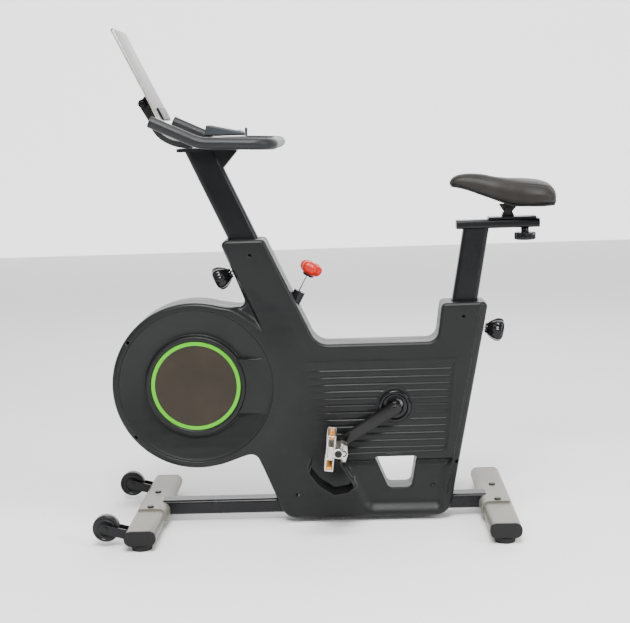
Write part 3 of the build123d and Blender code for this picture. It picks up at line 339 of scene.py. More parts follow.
front_post = (-199.0, 737.0, radians(-24.1), 36.5, 19.5)
rear_post = (356.5, 562.0, radians(9.8), 33.5, 18.5)
front_pin, rear_pin = -67.0, -63.0
rod_line = (-60, 597, radians(28.6))
screw_hole_radius, axle_hole_radius = 4.6, 21
rail_level, rail_hole = 41, (25.5, 19.5)
screw_places = [(-81, 76), (327.5, 152), (-180, 697), (349, 528), (266, 90)]
screw_places += [(drum_x + 204 * cos(radians(a)), drum_z + 204 * sin(radians(a))) for a in (145, 219)]


def rounded_outline(corners, steps=7):
    """Outline points: each corner is an arc that leaves and meets its two sides at the same distance."""
    corners = np.array(corners, float)
    here = corners[:, :2]
    to_last = np.roll(here, 1, 0) - here
    to_next = np.roll(here, -1, 0) - here
    to_last /= np.linalg.norm(to_last, axis=1)[:, None]
    to_next /= np.linalg.norm(to_next, axis=1)[:, None]
    half = np.arccos(np.clip((to_last * to_next).sum(1), -1, 1))[:, None] / 2
    radius = corners[:, 2:]
    bisector = to_last + to_next
    middle = here + bisector / np.linalg.norm(bisector, axis=1)[:, None] * radius / np.sin(half)
    start = here + to_last * radius / np.tan(half)
    end = here + to_next * radius / np.tan(half)
    sweep = np.linspace(0, 1, steps)[None, :, None]
    arc = start[:, None] + (end - start)[:, None] * sweep - middle[:, None]
    return (middle[:, None] + arc / np.linalg.norm(arc, axis=2)[..., None] * radius[:, None]).reshape(-1, 2)


def outline_distance(outline, x, z):
    """Distance to a closed outline, negative inside: the least distance to a side, signed by crossings."""
    near = np.full(x.shape, 1e18)
    inside = np.zeros(x.shape, bool)
    for (x0, z0), (x1, z1) in zip(outline, np.roll(outline, -1, 0)):
        along_x, along_z = x1 - x0, z1 - z0
        share = np.clip(((x - x0) * along_x + (z - z0) * along_z) / (along_x**2 + along_z**2 + 1e-12), 0, 1)
        near = np.minimum(near, (x - x0 - share * along_x)**2 + (z - z0 - share * along_z)**2)
        inside ^= ((z0 > z) != (z1 > z)) & (x < x0 + (z - z0) * along_x / (along_z + (along_z == 0)))
    return np.where(inside, -1, 1) * np.sqrt(near)


def ease(value):
    """Smooth step from 0 to 1."""
    value = np.clip(value, 0, 1)
    return value * value * (3 - 2 * value)


def beyond(start, end, x, z):
    """Distance to the right-hand side of a line that runs from start to end, negative on its left."""
    length = np.hypot(end[0] - start[0], end[1] - start[1])
    return ((end[1] - start[1]) * (x - start[0]) - (end[0] - start[0]) * (z - start[1])) / length


body_line = rounded_outline(housing_corners)
window_line = rounded_outline(window_corners)
recess_line = rounded_outline(recess_corners)
panel_line = rounded_outline(panel_corners)


def housing_height(x, z):
    """How far the face stands from the middle plane: a level, plus the swell, less each hollow."""
    from_drum = np.hypot(x - drum_x, z - drum_z) - drum_radius
    height = face_level + drum_swell * ease(1 - from_drum / swell_reach)
    ahead = beyond(seam_start, seam_end, x, z)
    height = height - seam_step * ease(ahead / seam_width) * ease((z - 490) / 60) * ease(from_drum / 14)
    rear_edge = -beyond(rear_foot, rear_top, x, z)
    bevel = ease((bevel_width - rear_edge) / 3) * (1 + np.clip((bevel_width - rear_edge) / bevel_width, 0, 1))
    height = height - bevel_drop / 2 * bevel * ease((z - 30) / 70) * ease((x - 220) / 30)
    panel = outline_distance(panel_line, x, z)
    fade = ease((x + 62 + 0.216 * (z - 397)) / 55)
    lip = lip_height * ease(1 - np.abs(panel + 2) / lip_width)
    groove = ease(1 - np.abs((z - 188) % rib_pitch - rib_pitch / 2) / rib_width)
    inside_panel = ease((-panel - 5) / 4)
    sunk = inside_panel * (panel_sink + rib_depth * groove * ease((-panel - 9) / 4))
    height = height + fade * (lip - sunk)
    recess = outline_distance(recess_line, x, z)
    wall = 34 - 24 * ease((z - 140) / 20)
    height = height - recess_depth * ease((-recess - 1) / wall)
    round_crank = np.hypot(x - crank_x, z - crank_z)
    return height + (face_level - height) * ease((50 - round_crank) / 5)


def housing_field(x, y, z):
    """Below zero inside the half housing: outline and face meet in an edge rolled to a quarter round."""
    drum = np.hypot(x - drum_x, z - drum_z) - drum_radius
    body = outline_distance(body_line, x, z)
    mix = np.clip(0.5 + (drum - body) / 16, 0, 1)
    outline = drum + (body - drum) * mix - 8 * mix * (1 - mix)
    window = outline_distance(window_line, x, z)
    roll = edge_roll - (edge_roll - window_roll) * ease((14 - window) / 8)
    sideways = np.maximum(outline, -window) + roll
    outwards = y - housing_height(x, z) + roll
    rolled = np.hypot(np.maximum(sideways, 0), np.maximum(outwards, 0))
    return np.minimum(np.maximum(sideways, outwards), 0) + rolled - roll


def slope_of(field, points, reach=0.12):
    """A field's value and its slope along x, y and z at each point."""
    x, y, z = points.T
    here = field(x, y, z)
    slope = np.stack([field(x + reach, y, z) - here, field(x, y + reach, z) - here,
                      field(x, y, z + reach) - here], -1) / reach
    return here, slope


def skin_of(field, low, high, step):
    """Quads where a field changes sign: one point in each mixed cell, at the mean of the places where
    its edges cross, then moved down the slope to the surface. Open in the plane of the lowest y."""
    axes = [np.arange(a, b + step, step) for a, b in zip(low, high)]
    x, y, z = np.meshgrid(*axes, indexing="ij", sparse=True)
    values = field(x + 0 * z, y, z + 0 * x)
    grid = np.meshgrid(*axes, indexing="ij")
    inside = values < 0
    corners = [(slice(i, i - 1 or None), slice(j, j - 1 or None), slice(k, k - 1 or None))
               for i in (0, 1) for j in (0, 1) for k in (0, 1)]
    count = sum(inside[c].astype(int) for c in corners)
    mixed = (count > 0) & (count < 8)
    at = [values[c][mixed] for c in corners]
    spots = [np.stack([g[c][mixed] for g in grid], -1) for c in corners]
    total, hits = np.zeros((mixed.sum(), 3)), np.zeros(mixed.sum())
    edges = [(a, a + gap) for gap in (1, 2, 4) for a in range(8) if not a & gap]
    for a, b in edges:
        crossed = (at[a] < 0) != (at[b] < 0)
        share = np.where(crossed, at[a] / (at[a] - at[b] + (at[a] == at[b])), 0)[:, None]
        total += crossed[:, None] * (spots[a] + (spots[b] - spots[a]) * share)
        hits += crossed
    points = total / hits[:, None]
    number = np.full(mixed.shape, -1)
    number[mixed] = np.arange(len(points))
    quads = []
    for axis in range(3):
        ahead = [slice(None)] * 3
        behind = [slice(None)] * 3
        ahead[axis], behind[axis] = slice(1, None), slice(0, -1)
        first, second = [a for a in range(3) if a != axis]
        where = np.argwhere(inside[tuple(behind)] != inside[tuple(ahead)])
        fits = [(where[:, a] > 0) & (where[:, a] < mixed.shape[a]) for a in (first, second)]
        where = where[fits[0] & fits[1]]
        leaves = inside[tuple(behind)][tuple(where.T)]
        around = []
        for back_one, back_two in ((1, 1), (0, 1), (0, 0), (1, 0)):
            cell = where.copy()
            cell[:, first] -= back_one
            cell[:, second] -= back_two
            around.append(number[tuple(cell.T)])
        faces = np.stack(around, -1)
        turn = leaves == (axis == 1)
        faces[turn] = faces[turn][:, ::-1]
        quads.append(faces)
    on_seam = points[:, 1] < low[1] + step
    for _ in range(4):
        here, slope = slope_of(field, points)
        slope[on_seam, 1] = 0
        points = points - slope * (here / np.maximum((slope**2).sum(1), 0.2))[:, None]
        points[on_seam, 1] = low[1]
    return points, np.concatenate(quads)


def opened(points, quads, cut):
    """Cuts a hole: faces centred inside the cut go, and the points round the hole move to its edge."""
    quads = quads[cut(*points[quads].mean(1).T) > 0]
    uses = np.bincount(quads.ravel(), minlength=len(points))
    here, slope = slope_of(cut, points)
    rim = (uses > 0) & (np.abs(here) < 2.2) & ((here < 0) | (uses < 4))
    shift = slope * (here / np.maximum((slope**2).sum(1), 0.2))[:, None]
    points = points.copy()
    points[rim] -= shift[rim]
    return points, quads


def leaning(post, x, z):
    """Distances across a leaning post's axis and up along it from its tower's top."""
    top_x, top_z, lean = post[:3]
    across = (x - top_x) * cos(lean) - (z - top_z) * sin(lean)
    return across, (x - top_x) * sin(lean) + (z - top_z) * cos(lean)


def post_cut(post):
    """The opening in a tower's top for its post: a rounded rectangle carried along the post."""
    def cut(x, y, z):
        across, up = leaning(post, x, z)
        side, depth = np.abs(across) - post[3] + 8, np.abs(y) - post[4] + 8
        outside = np.hypot(np.maximum(side, 0), np.maximum(depth, 0))
        ring = outside + np.minimum(np.maximum(side, depth), 0) - 8
        return np.maximum(ring, -30 - up)
    return cut


def pin_cut(post, distance, outward):
    """The round opening for a lock pin, square to its post."""
    def cut(x, y, z):
        across, up = leaning(post, x, z)
        return np.maximum(np.hypot(up - distance, y) - 12.5, np.abs(outward * across - 55) - 25)
    return cut


def rod_cut(x, y, z):
    """The round opening for the resistance knob's socket."""
    across, up = leaning(rod_line, x, z)
    return np.maximum(np.hypot(across, y) - 15.7, np.abs(up) - 70)


def round_cut(place, radius):
    """A round hole through the face."""
    return lambda x, y, z: np.maximum(np.hypot(x - place[0], z - place[1]) - radius, 25 - y)


housing_plastic = moulded_plastic("housing_plastic", (0.0062, 0.0066, 0.0068), 0.38, 0.3, 1100, 0.05)
dress(housing_plastic, "left_housing", "right_housing")
shell_step = 2.6
shell = skin_of(housing_field, (-552, 0, 6), (424, 64, 742), shell_step)
shell_cuts = [round_cut((drum_x, drum_z), dish_radius - 0.9), round_cut((crank_x, crank_z), axle_hole_radius),
              lambda x, y, z: np.maximum(np.abs(y) - rail_hole[0], np.abs(z - rail_level) - rail_hole[1]),
              post_cut(front_post), post_cut(rear_post),
              pin_cut(front_post, front_pin, -1), pin_cut(rear_post, rear_pin, 1), rod_cut]
shell_cuts += [round_cut(place, screw_hole_radius) for place in screw_places]
for cut in shell_cuts:
    shell = opened(*shell, cut)
used = np.unique(shell[1])
renumber = np.full(len(shell[0]), -1)
renumber[used] = np.arange(len(used))
shell_points, shell_faces = shell[0][used], renumber[shell[1]]
for side_name, side in (("left", -1), ("right", 1)):
    half = surface_object(f"{side_name}_shell", shell_points * (1, side, 1), shell_faces[:, ::side],
                          housing_plastic, "frame", mend=False)
    wall = half.modifiers.new("wall", "SOLIDIFY")
    wall.thickness = 0.0025
    wall.offset = -1
    wall.use_rim_only = True
    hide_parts(f"{side_name}_housing")

# ---- flywheel covers -------------------------------------------------------------------------
# A dished cover on each side of the drum, moulded in the housing's plastic: a hollow cone that
# falls to a raised lip round the middle, crossed at the rear by a flat bridge to the body. A lime
# ring lies inside the lip, round a bronze-brown disc with fine turning marks; the ring carries a
# faint painted glow, though it holds no lamp.
cover_floor = 41.0
bridge_low, bridge_high, bridge_face = 294.0, 436.0, 56.6
cover_rows = [(196.3, 55.0), (196.3, 57.6), (195.2, 58.4), (193.2, 58.4), (191.5, 57.4)]
cover_rows += [(191.5 - 60 * t, 57.4 - (57.4 - cover_floor) * t**0.9) for t in np.linspace(0.04, 1, 24)]
cover_rows += [(130.2, 41.6), (129.0, 43.0), (128.0, 46.0), (127.6, 52.4), (126.6, 54.4), (124.6, 55.3),
               (120.0, 55.6), (117.0, 55.2), (115.2, 54.0), (114.4, 52.0), (114.2, 47.6), (60.0, 47.6),
               (0.0, 47.6)]


def dished_cover(turns):
    """The cover's profile carried round, then raised to the bridge's level inside the bridge's edges."""
    radius, level = np.array(cover_rows, float).T
    angle = np.linspace(0, 2 * pi, turns, endpoint=False)
    x = drum_x + radius[:, None] * np.cos(angle)
    z = drum_z + radius[:, None] * np.sin(angle)
    level = np.broadcast_to(level[:, None], x.shape)
    inside = ease((np.minimum(z - bridge_low, bridge_high - z) + 1) / 3) * ease((x - drum_x - 60) / 20)
    inside = inside * ((radius > 127.7) & (radius < 193.5))[:, None]
    level = level + np.maximum(bridge_face - level, 0) * inside
    points = np.stack([x, level, z], -1).reshape(-1, 3)
    return mirrored(points, grid_faces(len(radius), turns))


cover = surface_object("dished_covers", *dished_cover(900), housing_plastic, "frame")
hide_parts("left_dish", "right_dish")


def turned_disc_paint(name, colour, centre):
    """Paint over turned metal: rings of noise that depend only on the distance from the disc's centre."""
    material, shade, links, shader = new_finish(name)
    coordinates = put(shade, "TexCoord")
    flatten = put(shade, "Mapping", Location=times(centre, -0.001), Scale=(1, 0, 1))
    distance = put(shade, "VectorMath")
    distance.operation = "LENGTH"
    rings = put(shade, "TexNoise", Scale=420, Detail=4)
    rings.noise_dimensions = "1D"
    cloud = put(shade, "TexNoise", Scale=14)
    tone = tones(shade, times(colour, 0.85), times(colour, 1.15))
    gloss = put(shade, "MapRange", To_Min=0.34, To_Max=0.5)
    bump = put(shade, "Bump", Strength=0.12, Distance=0.0003)
    wire(links, (coordinates, "Object", flatten, "Vector"), (coordinates, "Object", cloud, "Vector"),
         (flatten, "Vector", distance, 0), (distance, "Value", rings, "W"),
         (cloud, "Fac", tone, "Fac"), (tone, "Color", shader, "Base Color"),
         (rings, "Fac", gloss, "Value"), (gloss, "Result", shader, "Roughness"),
         (rings, "Fac", bump, "Height"), (bump, "Normal", shader, "Normal"))
    return material


dress(turned_disc_paint("bronze_brown", (0.024, 0.0175, 0.0115), (drum_x, 0, drum_z)), "centre_discs")
lime_ring = moulded_plastic("lime_ring", (0.06, 0.36, 0.002), 0.25, 0.1, 300)
ring_glow_shader = lime_ring.node_tree.nodes["Principled BSDF"]
# Painted glow: a faint emission lifts the lime ring's brightness, though the ring is no lamp.
ring_glow_shader.inputs["Emission Color"].default_value = (0.18, 0.80, 0.01, 1)
ring_glow_shader.inputs["Emission Strength"].default_value = 0.12
dress(lime_ring, "glow_rings")

# ---- cranks ----------------------------------------------------------------------------------
# A stepped gloss black cover round each end of the axle, turned from a section. The forged arms are
# plates between two round ends, painted black, each with a boss on the axle and a bolt cap.
crank_centre, right_way = (crank_x, 0, crank_z), (0, 1, 0)
cover_section = [(41.5, 49.5), (41.5, 54.5), (40.6, 57.2), (38.4, 58.8), (34.5, 59.0), (32.2, 58.2),
                 (31.0, 56.4), (30.2, 55.2), (24.6, 54.8), (23.4, 55.4), (22.0, 55.2), (21.2, 53.6),
                 (21.0, 49.5)]
gloss_black = coated_metal("gloss_black", (0.006, 0.006, 0.007), 0.13, 0.06)
dress(gloss_black, "crank_axle")
right_ring = turned(cover_section, crank_centre, right_way, 96, loop=True)
ring = surface_object("crank_rings", *mirrored(*right_ring), gloss_black, "frame")
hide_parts("crank_covers")


def plate(outline, low, high, edge, origin, across, up, out):
    """A plate cut to an outline: the outline is drawn in along its own normals by a quarter circle at
    each face, so its edges are rounded. Each face closes flat."""
    outline = np.array(outline, float)
    run = np.roll(outline, -1, 0) - np.roll(outline, 1, 0)
    normal = np.stack([run[:, 1], -run[:, 0]], -1) / np.maximum(np.linalg.norm(run, axis=1), 1e-9)[:, None]
    turning = (outline * (np.roll(outline, -1, 0)[:, ::-1] * (1, -1))).sum()
    quarter = np.linspace(0, pi / 2, 5)
    inset = edge * (1 - np.sin(quarter))
    rise = edge * (1 - np.cos(quarter))
    insets = np.concatenate([inset, inset[::-1]])[:, None, None]
    levels = np.concatenate([low + rise, (high - rise)[::-1]])[:, None, None]
    flat = outline - normal * np.sign(turning) * insets
    points = (np.array(origin, float) + flat[..., :1] * np.array(across, float)
              + flat[..., 1:] * np.array(up, float) + levels * np.array(out, float))
    count = len(outline)
    faces = [list(q) for q in grid_faces(len(insets), count)]
    faces += [list(range(count))[::-1], list(range(count * (len(insets) - 1), count * len(insets)))]
    return points.reshape(-1, 3), faces


def hull_of_circles(first, first_radius, second, second_radius, steps=24):
    """Outline of a bar between two round ends, with straight sides touching both circles."""
    first, second = np.array(first, float), np.array(second, float)
    run = second - first
    heading = np.arctan2(run[1], run[0])
    spread = np.arccos((first_radius - second_radius) / np.linalg.norm(run))
    near = heading + np.linspace(spread, 2 * pi - spread, steps)
    far = heading + np.linspace(-spread, spread, steps)
    return np.concatenate([first + first_radius * np.stack([np.cos(near), np.sin(near)], -1),
                           second + second_radius * np.stack([np.cos(far), np.sin(far)], -1)])


side_view = ((0, 0, 0), (1, 0, 0), (0, 0, 1), (0, 1, 0))
crank_length, crank_angle = 170.0, radians(211.5)
eyes = {"left": (crank_x + crank_length * cos(crank_angle), crank_z + crank_length * sin(crank_angle), -1),
        "right": (crank_x - crank_length * cos(crank_angle), crank_z - crank_length * sin(crank_angle), 1)}
crank_paint = coated_metal("crank_paint", (0.006, 0.006, 0.006), 0.15, 0.12)
for side_name, (eye_x, eye_z, side) in eyes.items():
    low, high = sorted((side * 63.0, side * 78.0))
    bar = plate(hull_of_circles((crank_x, crank_z), 17, (eye_x, eye_z), 14), low, high, 4, *side_view)
    arm = surface_object(f"{side_name}_crank", *bar, crank_paint, "crank_body")
    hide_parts(f"{side_name}_crank_arm")
    boss = turned([(16, 52), (16, 64), (8, 64), (8, 52)], crank_centre, (0, side, 0), 48, loop=True)
    surface_object(f"{side_name}_crank_boss", *boss, crank_paint, "crank_body")
    cap = [(0, 81.6), (5.0, 81.5), (6.4, 80.9), (7.2, 80.2), (9.4, 80.2), (10.6, 79.6), (11.0, 78.6),
           (11.0, 77.0), (0, 77.0)]
    surface_object(f"{side_name}_crank_cap", *turned(cap, crank_centre, (0, side, 0), 48),
                   gloss_black, "crank_body")

# ---- pedals --------------------------------------------------------------------------------
# Cast alloy platforms with two windows, amber reflectors at both ends, and a cleat block on the
# back of the spindle body. Each hangs on its axle with its toe cage, which has a lashing strap.
pedal_lean = radians(-97)
pedal_front = np.array((cos(pedal_lean), 0, sin(pedal_lean)))
pedal_back = np.array((-sin(pedal_lean), 0, cos(pedal_lean)))
pedal_near, pedal_far, cheek_width = 86, 178, 6
bar_near, bar_far = pedal_near + cheek_width - 1, pedal_far - cheek_width + 1
platform_level, bar_edge = -20, 1.2
alloy = brushed_metal("alloy", (0.66, 0.65, 0.62), 0.36, (120, 30, 120), 0.4)


def amber_reflector():
    """Amber plastic with a prism pattern: cells in colour and bump under a clear glossy face."""
    material, shade, links, shader = new_finish("amber_reflector")
    coordinates = put(shade, "TexCoord")
    prisms = put(shade, "TexVoronoi", Scale=420)
    tone = tones(shade, (0.95, 0.42, 0.03), (0.55, 0.13, 0.0), (0, 1))
    bump = put(shade, "Bump", Strength=0.8, Distance=0.0006)
    wire(links, (coordinates, "Object", prisms, "Vector"), (prisms, "Distance", tone, "Fac"),
         (prisms, "Distance", bump, "Height"), (tone, "Color", shader, "Base Color"),
         (bump, "Normal", shader, "Normal"))
    shader.inputs["Roughness"].default_value = 0.14
    shader.inputs["Coat Weight"].default_value = 0.6
    return material


def joined(*surfaces):
    """Several surfaces as one list of points and faces."""
    starts = np.cumsum([0] + [len(points) for points, _ in surfaces])
    faces = [[int(v) + start for v in face] for start, (_, part) in zip(starts, surfaces) for face in part]
    return np.concatenate([points for points, _ in surfaces]), faces


def block(centre, size, radius):
    """Corners of a rounded rectangle about a centre, for rounded_outline."""
    (u, v), (du, dv) = centre, (size[0] / 2, size[1] / 2)
    return rounded_outline([(u - du, v - dv, radius), (u + du, v - dv, radius), (u + du, v + dv, radius),
                            (u - du, v + dv, radius)], 5)


amber = amber_reflector()
cheek_bars = [((0, platform_level + v), (90, 3.6)) for v in (-9, 9)]
cheek_bars += [((u, platform_level), (3.6, 20)) for u in (43.2, -43.2)]
cheek_bars += [((u, platform_level), (4, 20)) for u in (14.5, -14.5)]
cheek_bars += [((0, platform_level), (27, 12))]
cross_bars = [((u, platform_level + v), (3.8, 3.0)) for u in (43.0, -43.0) for v in (-8.5, 8.5)]
cross_bars += [((0, platform_level + 0.5), (24, 15))]
for side_name, (eye_x, eye_z, side) in eyes.items():
    local = ((eye_x, 0, eye_z), pedal_front, pedal_back, (0, side, 0))
    parts = []
    for near, far in ((pedal_near, pedal_near + cheek_width), (pedal_far - cheek_width, pedal_far)):
        for centre, size in cheek_bars:
            parts.append(plate(block(centre, size, bar_edge), near, far, 0.8, *local))
    for centre, size in cross_bars:
        parts.append(plate(block(centre, size, bar_edge), bar_near, bar_far, 0.8, *local))
    spindle_body = hull_of_circles((0, 0), 12.5, (0, -12), 10)
    parts.append(plate(spindle_body, pedal_near + 2, pedal_far - 2, 2.5, *local))
    cleat = rounded_outline([(-22, 4, 3), (14, 3, 3), (28, 9, 4), (26, 20, 4), (6, 24, 4), (-16, 20, 5)], 5)
    parts.append(plate(cleat, 108, 152, 3, *local))
    teeth_u, teeth_y = np.meshgrid((-38, -27, 27, 38), np.arange(96, 172, 12))
    for u, y in zip(teeth_u.ravel(), teeth_y.ravel()):
        parts.append(plate(block((u, -30.2), (3.2, 3.6), 0.6), y - 1.4, y + 1.4, 0.4, *local))
    pedal_body = f"{side_name}_pedal_body"
    platform = surface_object(f"{side_name}_platform", *joined(*parts), alloy, pedal_body)
    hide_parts(f"{side_name}_pedal")
    lamps = [plate(block((u, platform_level), (6.4, 13.2), 1.4), bar_near - 1, bar_far + 1, 1.0, *local)
             for u in (-38.6, 38.6)]
    surface_object(f"{side_name}_reflectors", *joined(*lamps), amber, pedal_body)
    cap = [(0, 179.6), (6.0, 179.4), (8.2, 178.4), (9.0, 177.0), (9.0, 174), (0, 174)]
    socket = [(0, 150.5), (4.6, 150.5), (5.2, 152.2), (8.0, 152.6), (8.4, 151.6), (8.4, 149), (0, 149)]
    surface_object(f"{side_name}_spindle_cap", *turned(cap, (eye_x, 0, eye_z), (0, side, 0), 40),
                   black_moulding, pedal_body)
    hole_place = np.array((eye_x, 0, eye_z)) + 4 * pedal_front + 13 * pedal_back
    surface_object(f"{side_name}_cleat_screw", *turned(socket, hole_place, (0, side, 0), 32),
                   black_steel, pedal_body)


def ribbon(route, width, thickness, local, middle):
    """A flat strap: a smooth line through the route, thickened across itself and as wide as stated."""
    route = np.array(route, float)
    line = smooth_rows(route, 8)
    run = np.gradient(line, axis=0)
    normal = np.stack([-run[:, 1], run[:, 0]], -1) / np.linalg.norm(run, axis=1)[:, None] * thickness / 2
    outline = np.concatenate([line + normal, (line - normal)[::-1]])
    return plate(outline, middle - width / 2, middle + width / 2, thickness * 0.35, *local)


def smooth_rows(rows, between):
    """Catmull-Rom curve through rows of numbers: each new row mixes its four neighbours by cubic weights."""
    rows = np.asarray(rows, float)
    padded_rows = np.concatenate([2 * rows[:1] - rows[1:2], rows, 2 * rows[-1:] - rows[-2:-1]])
    t = np.linspace(0, 1, between, endpoint=False)[:, None]
    weights = (-t + 2 * t**2 - t**3, 2 - 5 * t**2 + 3 * t**3, t + 4 * t**2 - 3 * t**3, -t**2 + t**3)
    mixed = sum(w[None] * padded_rows[i:len(rows) - 1 + i, None] / 2 for i, w in enumerate(weights))
    return np.concatenate([mixed.reshape(-1, rows.shape[1]), rows[-1:]])


strap_webbing = moulded_plastic("strap_webbing", (0.05, 0.05, 0.05), 0.6, 0.8, 700)
strap_route = [(30, -67), (52, -72), (76, -58), (98, -30), (111.5, 0), (101, 38), (84, 54), (60, 36),
               (34, 15)]
for side_name, (eye_x, eye_z, side) in eyes.items():
    local = ((eye_x, 0, eye_z), pedal_front, pedal_back, (0, side, 0))
    strap = joined(ribbon(strap_route, 14, 1.6, local, 136),
                   plate(block((70, 46), (14, 5), 1.5), 127, 145, 1.0, *local))
    surface_object(f"{side_name}_toe_strap", *strap, strap_webbing, f"{side_name}_pedal_body")

# ---- knobs -----------------------------------------------------------------------------------
# Lobed hand knobs in gloss black on chrome pins for the posts, a red one with a black collar on
# the resistance rod, and a flat one under the seat slide.
chrome = brushed_metal("chrome", (0.78, 0.78, 0.78), 0.16, (200, 200, 200), 0.1)
dress(chrome, "tension_rod")
pin_section = [(0, -31), (6.2, -31), (7.0, -30), (7.0, 0), (0, 0)]
grip_section = [(0, -1), (11.6, -1), (12.8, 0), (13.2, 3), (14.2, 5, 0.2), (18, 8, 0.8), (23, 15, 1.5),
                (27.2, 22, 2.0), (29.6, 28, 2.3), (30, 33, 2.4), (29.6, 37, 2.4), (28.4, 40, 2.2),
                (26, 42.6, 1.8), (23, 44.2, 1.2), (21.6, 44.8, 0.6), (20.4, 44.4), (19.6, 43.2),
                (12, 43.0), (0, 43.0)]
post_knobs = {"front": (front_post, front_pin, 67.0, -1), "rear": (rear_post, rear_pin, 64.0, 1)}
for name, (post, distance, neck, outward) in post_knobs.items():
    body = f"{name}_pin_body"
    top_x, top_z, lean = post[:3]
    out = np.array((cos(lean), 0, -sin(lean))) * outward
    place = np.array((top_x + sin(lean) * distance, 0, top_z + cos(lean) * distance)) + out * neck
    grip = surface_object(f"{name}_grip", *turned(grip_section, place, out, 144, lobes=8), gloss_black, body)
    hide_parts(f"{name}_knob")
    surface_object(f"{name}_pull_pin", *turned(pin_section, place, out, 32), chrome, body)

rod_foot, rod_up = (rod_line[0], 0, rod_line[1]), (sin(rod_line[2]), 0, cos(rod_line[2]))
red_plastic = moulded_plastic("red_plastic", (0.44, 0.010, 0.005), 0.2, 0.06, 700, 0.04)
red_section = [(0, 49), (15, 49), (20, 51, 0.4), (25.5, 55, 1.4), (28.8, 60, 2.2), (30, 65, 2.6),
               (29.8, 70, 2.6), (28.0, 74.4, 2.2), (24.8, 77.6, 1.5), (20.6, 79.4, 0.6), (19.4, 79.0),
               (18.6, 78.0), (9, 78.2), (8, 80.6), (0, 81.0)]
red_knob = surface_object("red_knob", *turned(red_section, rod_foot, rod_up, 144, lobes=7),
                          red_plastic, "tension_knob_body")
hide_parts("tension_knob")
collar_section = [(4.2, 43.6), (12.6, 43.6), (14, 44.8), (15.6, 49), (17.6, 51.6), (4.2, 51.6)]
surface_object("red_knob_collar", *turned(collar_section, rod_foot, rod_up, 48, loop=True),
               black_moulding, "tension_knob_body")
slide_section = [(4.6, 742.2), (9.4, 742.2), (10, 741.4), (10.2, 731.6, 0.2), (20, 731.0, 1.2),
                 (25.4, 730.0, 2.6), (27, 728.0, 3.0), (27, 715.0, 3.0), (26, 712.6, 2.8),
                 (23.4, 711.5, 2.0), (16, 711.5), (15, 712.6), (4.6, 712.6)]
slide_turned = turned(slide_section, (511, 0, 0), (0, 0, 1), 144, lobes=12, loop=True)
slide_knob = surface_object("slide_knob", *slide_turned, gloss_black, "carriage_knob_body")
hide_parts("carriage_knob")

# ---- handlebar, console and tablet -----------------------------------------------------------
# A bent tube loop dipped in soft black, with plugs in its horns, on a satin black post and plate.
# On the plate sit a grey wedge-shaped meter over a silver strip and a tray for the hinge.
bar_coat = moulded_plastic("bar_coat", (0.011, 0.012, 0.013), 0.38, 0.3, 1400)
dress(bar_coat, "handlebar")
post_paint = coated_metal("post_paint", (0.0045, 0.0048, 0.0055), 0.28, 0.15)
dress(post_paint, "handlebar_post", "post_head", "seat_post", "seat_rail", "seat_carriage")
horn_way = np.array((-115.0, 0, 54.0)) / np.hypot(115, 54)
plug_section = [(0, 1.6), (9.8, 1.6), (12.4, 1.2), (13.8, 0.0), (14.2, -2.2), (14.2, -5), (13, -5.4),
                (0, -5.4)]
plugs = [turned(plug_section, (-389.4, side * 205, 1033.7), horn_way, 48) for side in (-1, 1)]
surface_object("bar_plugs", *joined(*plugs), black_moulding, "handlebar_body")
meter_plastic = moulded_plastic("meter_plastic", (0.026, 0.030, 0.034), 0.4, 0.3, 1200)
meter_outline = rounded_outline([(-282, 994.4, 1.5), (-181, 994.4, 1.5), (-181, 1001, 3), (-275, 1022, 4)], 5)
top_view = ((0, 0, 0), (1, 0, 0), (0, 1, 0), (0, 0, 1))
meter_feet = [plate(block((-228, y), (14, 10), 2), 965, 996, 0.5, *top_view) for y in (-22, 22)]
case = joined(plate(meter_outline, -50, 50, 3, *side_view), *meter_feet)
meter = surface_object("meter_case", *case, meter_plastic, "handlebar_body")
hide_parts("meter")
silver_trim = brushed_metal("silver_trim", (0.62, 0.60, 0.56), 0.34, (300, 20, 300), 0.15)
strip = plate(block((-222, 0), (84, 98), 6), 990.6, 994.6, 1.2, *top_view)
surface_object("meter_strip", *strip, silver_trim, "handlebar_body")
lead_section = [(0, 1013), (2.6, 1012.6), (3.4, 1011), (3.4, 1003), (2.2, 1002), (2.2, 992), (0, 992)]
surface_object("meter_lead_plug", *turned(lead_section, (-177.5, -34, 0), (0, 0, 1), 24), meter_plastic,
               "handlebar_body")
face_slope = np.array((94.0, 0, -21.0)) / np.hypot(94, 21)
face_up = np.array((21.0, 0, 94.0)) / np.hypot(94, 21)
face_view = ((-229.0, 0, 1011.9), face_slope, (0, 1, 0), face_up)
black_glass = coated_metal("black_glass", (0.012, 0.013, 0.014), 0.09, 0.02)
window = plate(block((-6, 0), (56, 74), 5), -0.6, 0.9, 0.5, *face_view)
surface_object("meter_window", *window, black_glass, "handlebar_body")
keys = [plate(block((34, y), (9, 14), 3), -0.5, 1.4, 0.8, *face_view) for y in (-27, -9, 9, 27)]
surface_object("meter_keys", *joined(*keys), black_moulding, "handlebar_body")

tablet_lean = radians(-25.4)
tablet_long = np.array((sin(tablet_lean), 0, cos(tablet_lean)))
tablet_out = np.array((cos(tablet_lean), 0, -sin(tablet_lean)))
tablet_view = ((-436.0, 0, 1147.5), tablet_long, (0, 1, 0), tablet_out)
rim_plate = plate(block((0, 0), (249, 180), 11), -3.5, 3.4, 1.6, *tablet_view)
rim = surface_object("tablet_rim", *rim_plate, silver_trim, "tablet_body")
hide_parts("tablet")
screen_glass = coated_metal("screen_glass", (0.020, 0.021, 0.022), 0.3, 0.01)
glass_plate = plate(block((0, 0), (243, 174), 9), 3.0, 3.7, 0.3, *tablet_view)
surface_object("tablet_screen", *glass_plate, screen_glass, "tablet_body")
ledge = joined(plate(block((-104.5, 0), (26, 120), 4), 3.5, 8.4, 1.5, *tablet_view),
               plate(block((-119, 0), (10, 120), 2), -3.6, 8.4, 1.5, *tablet_view))
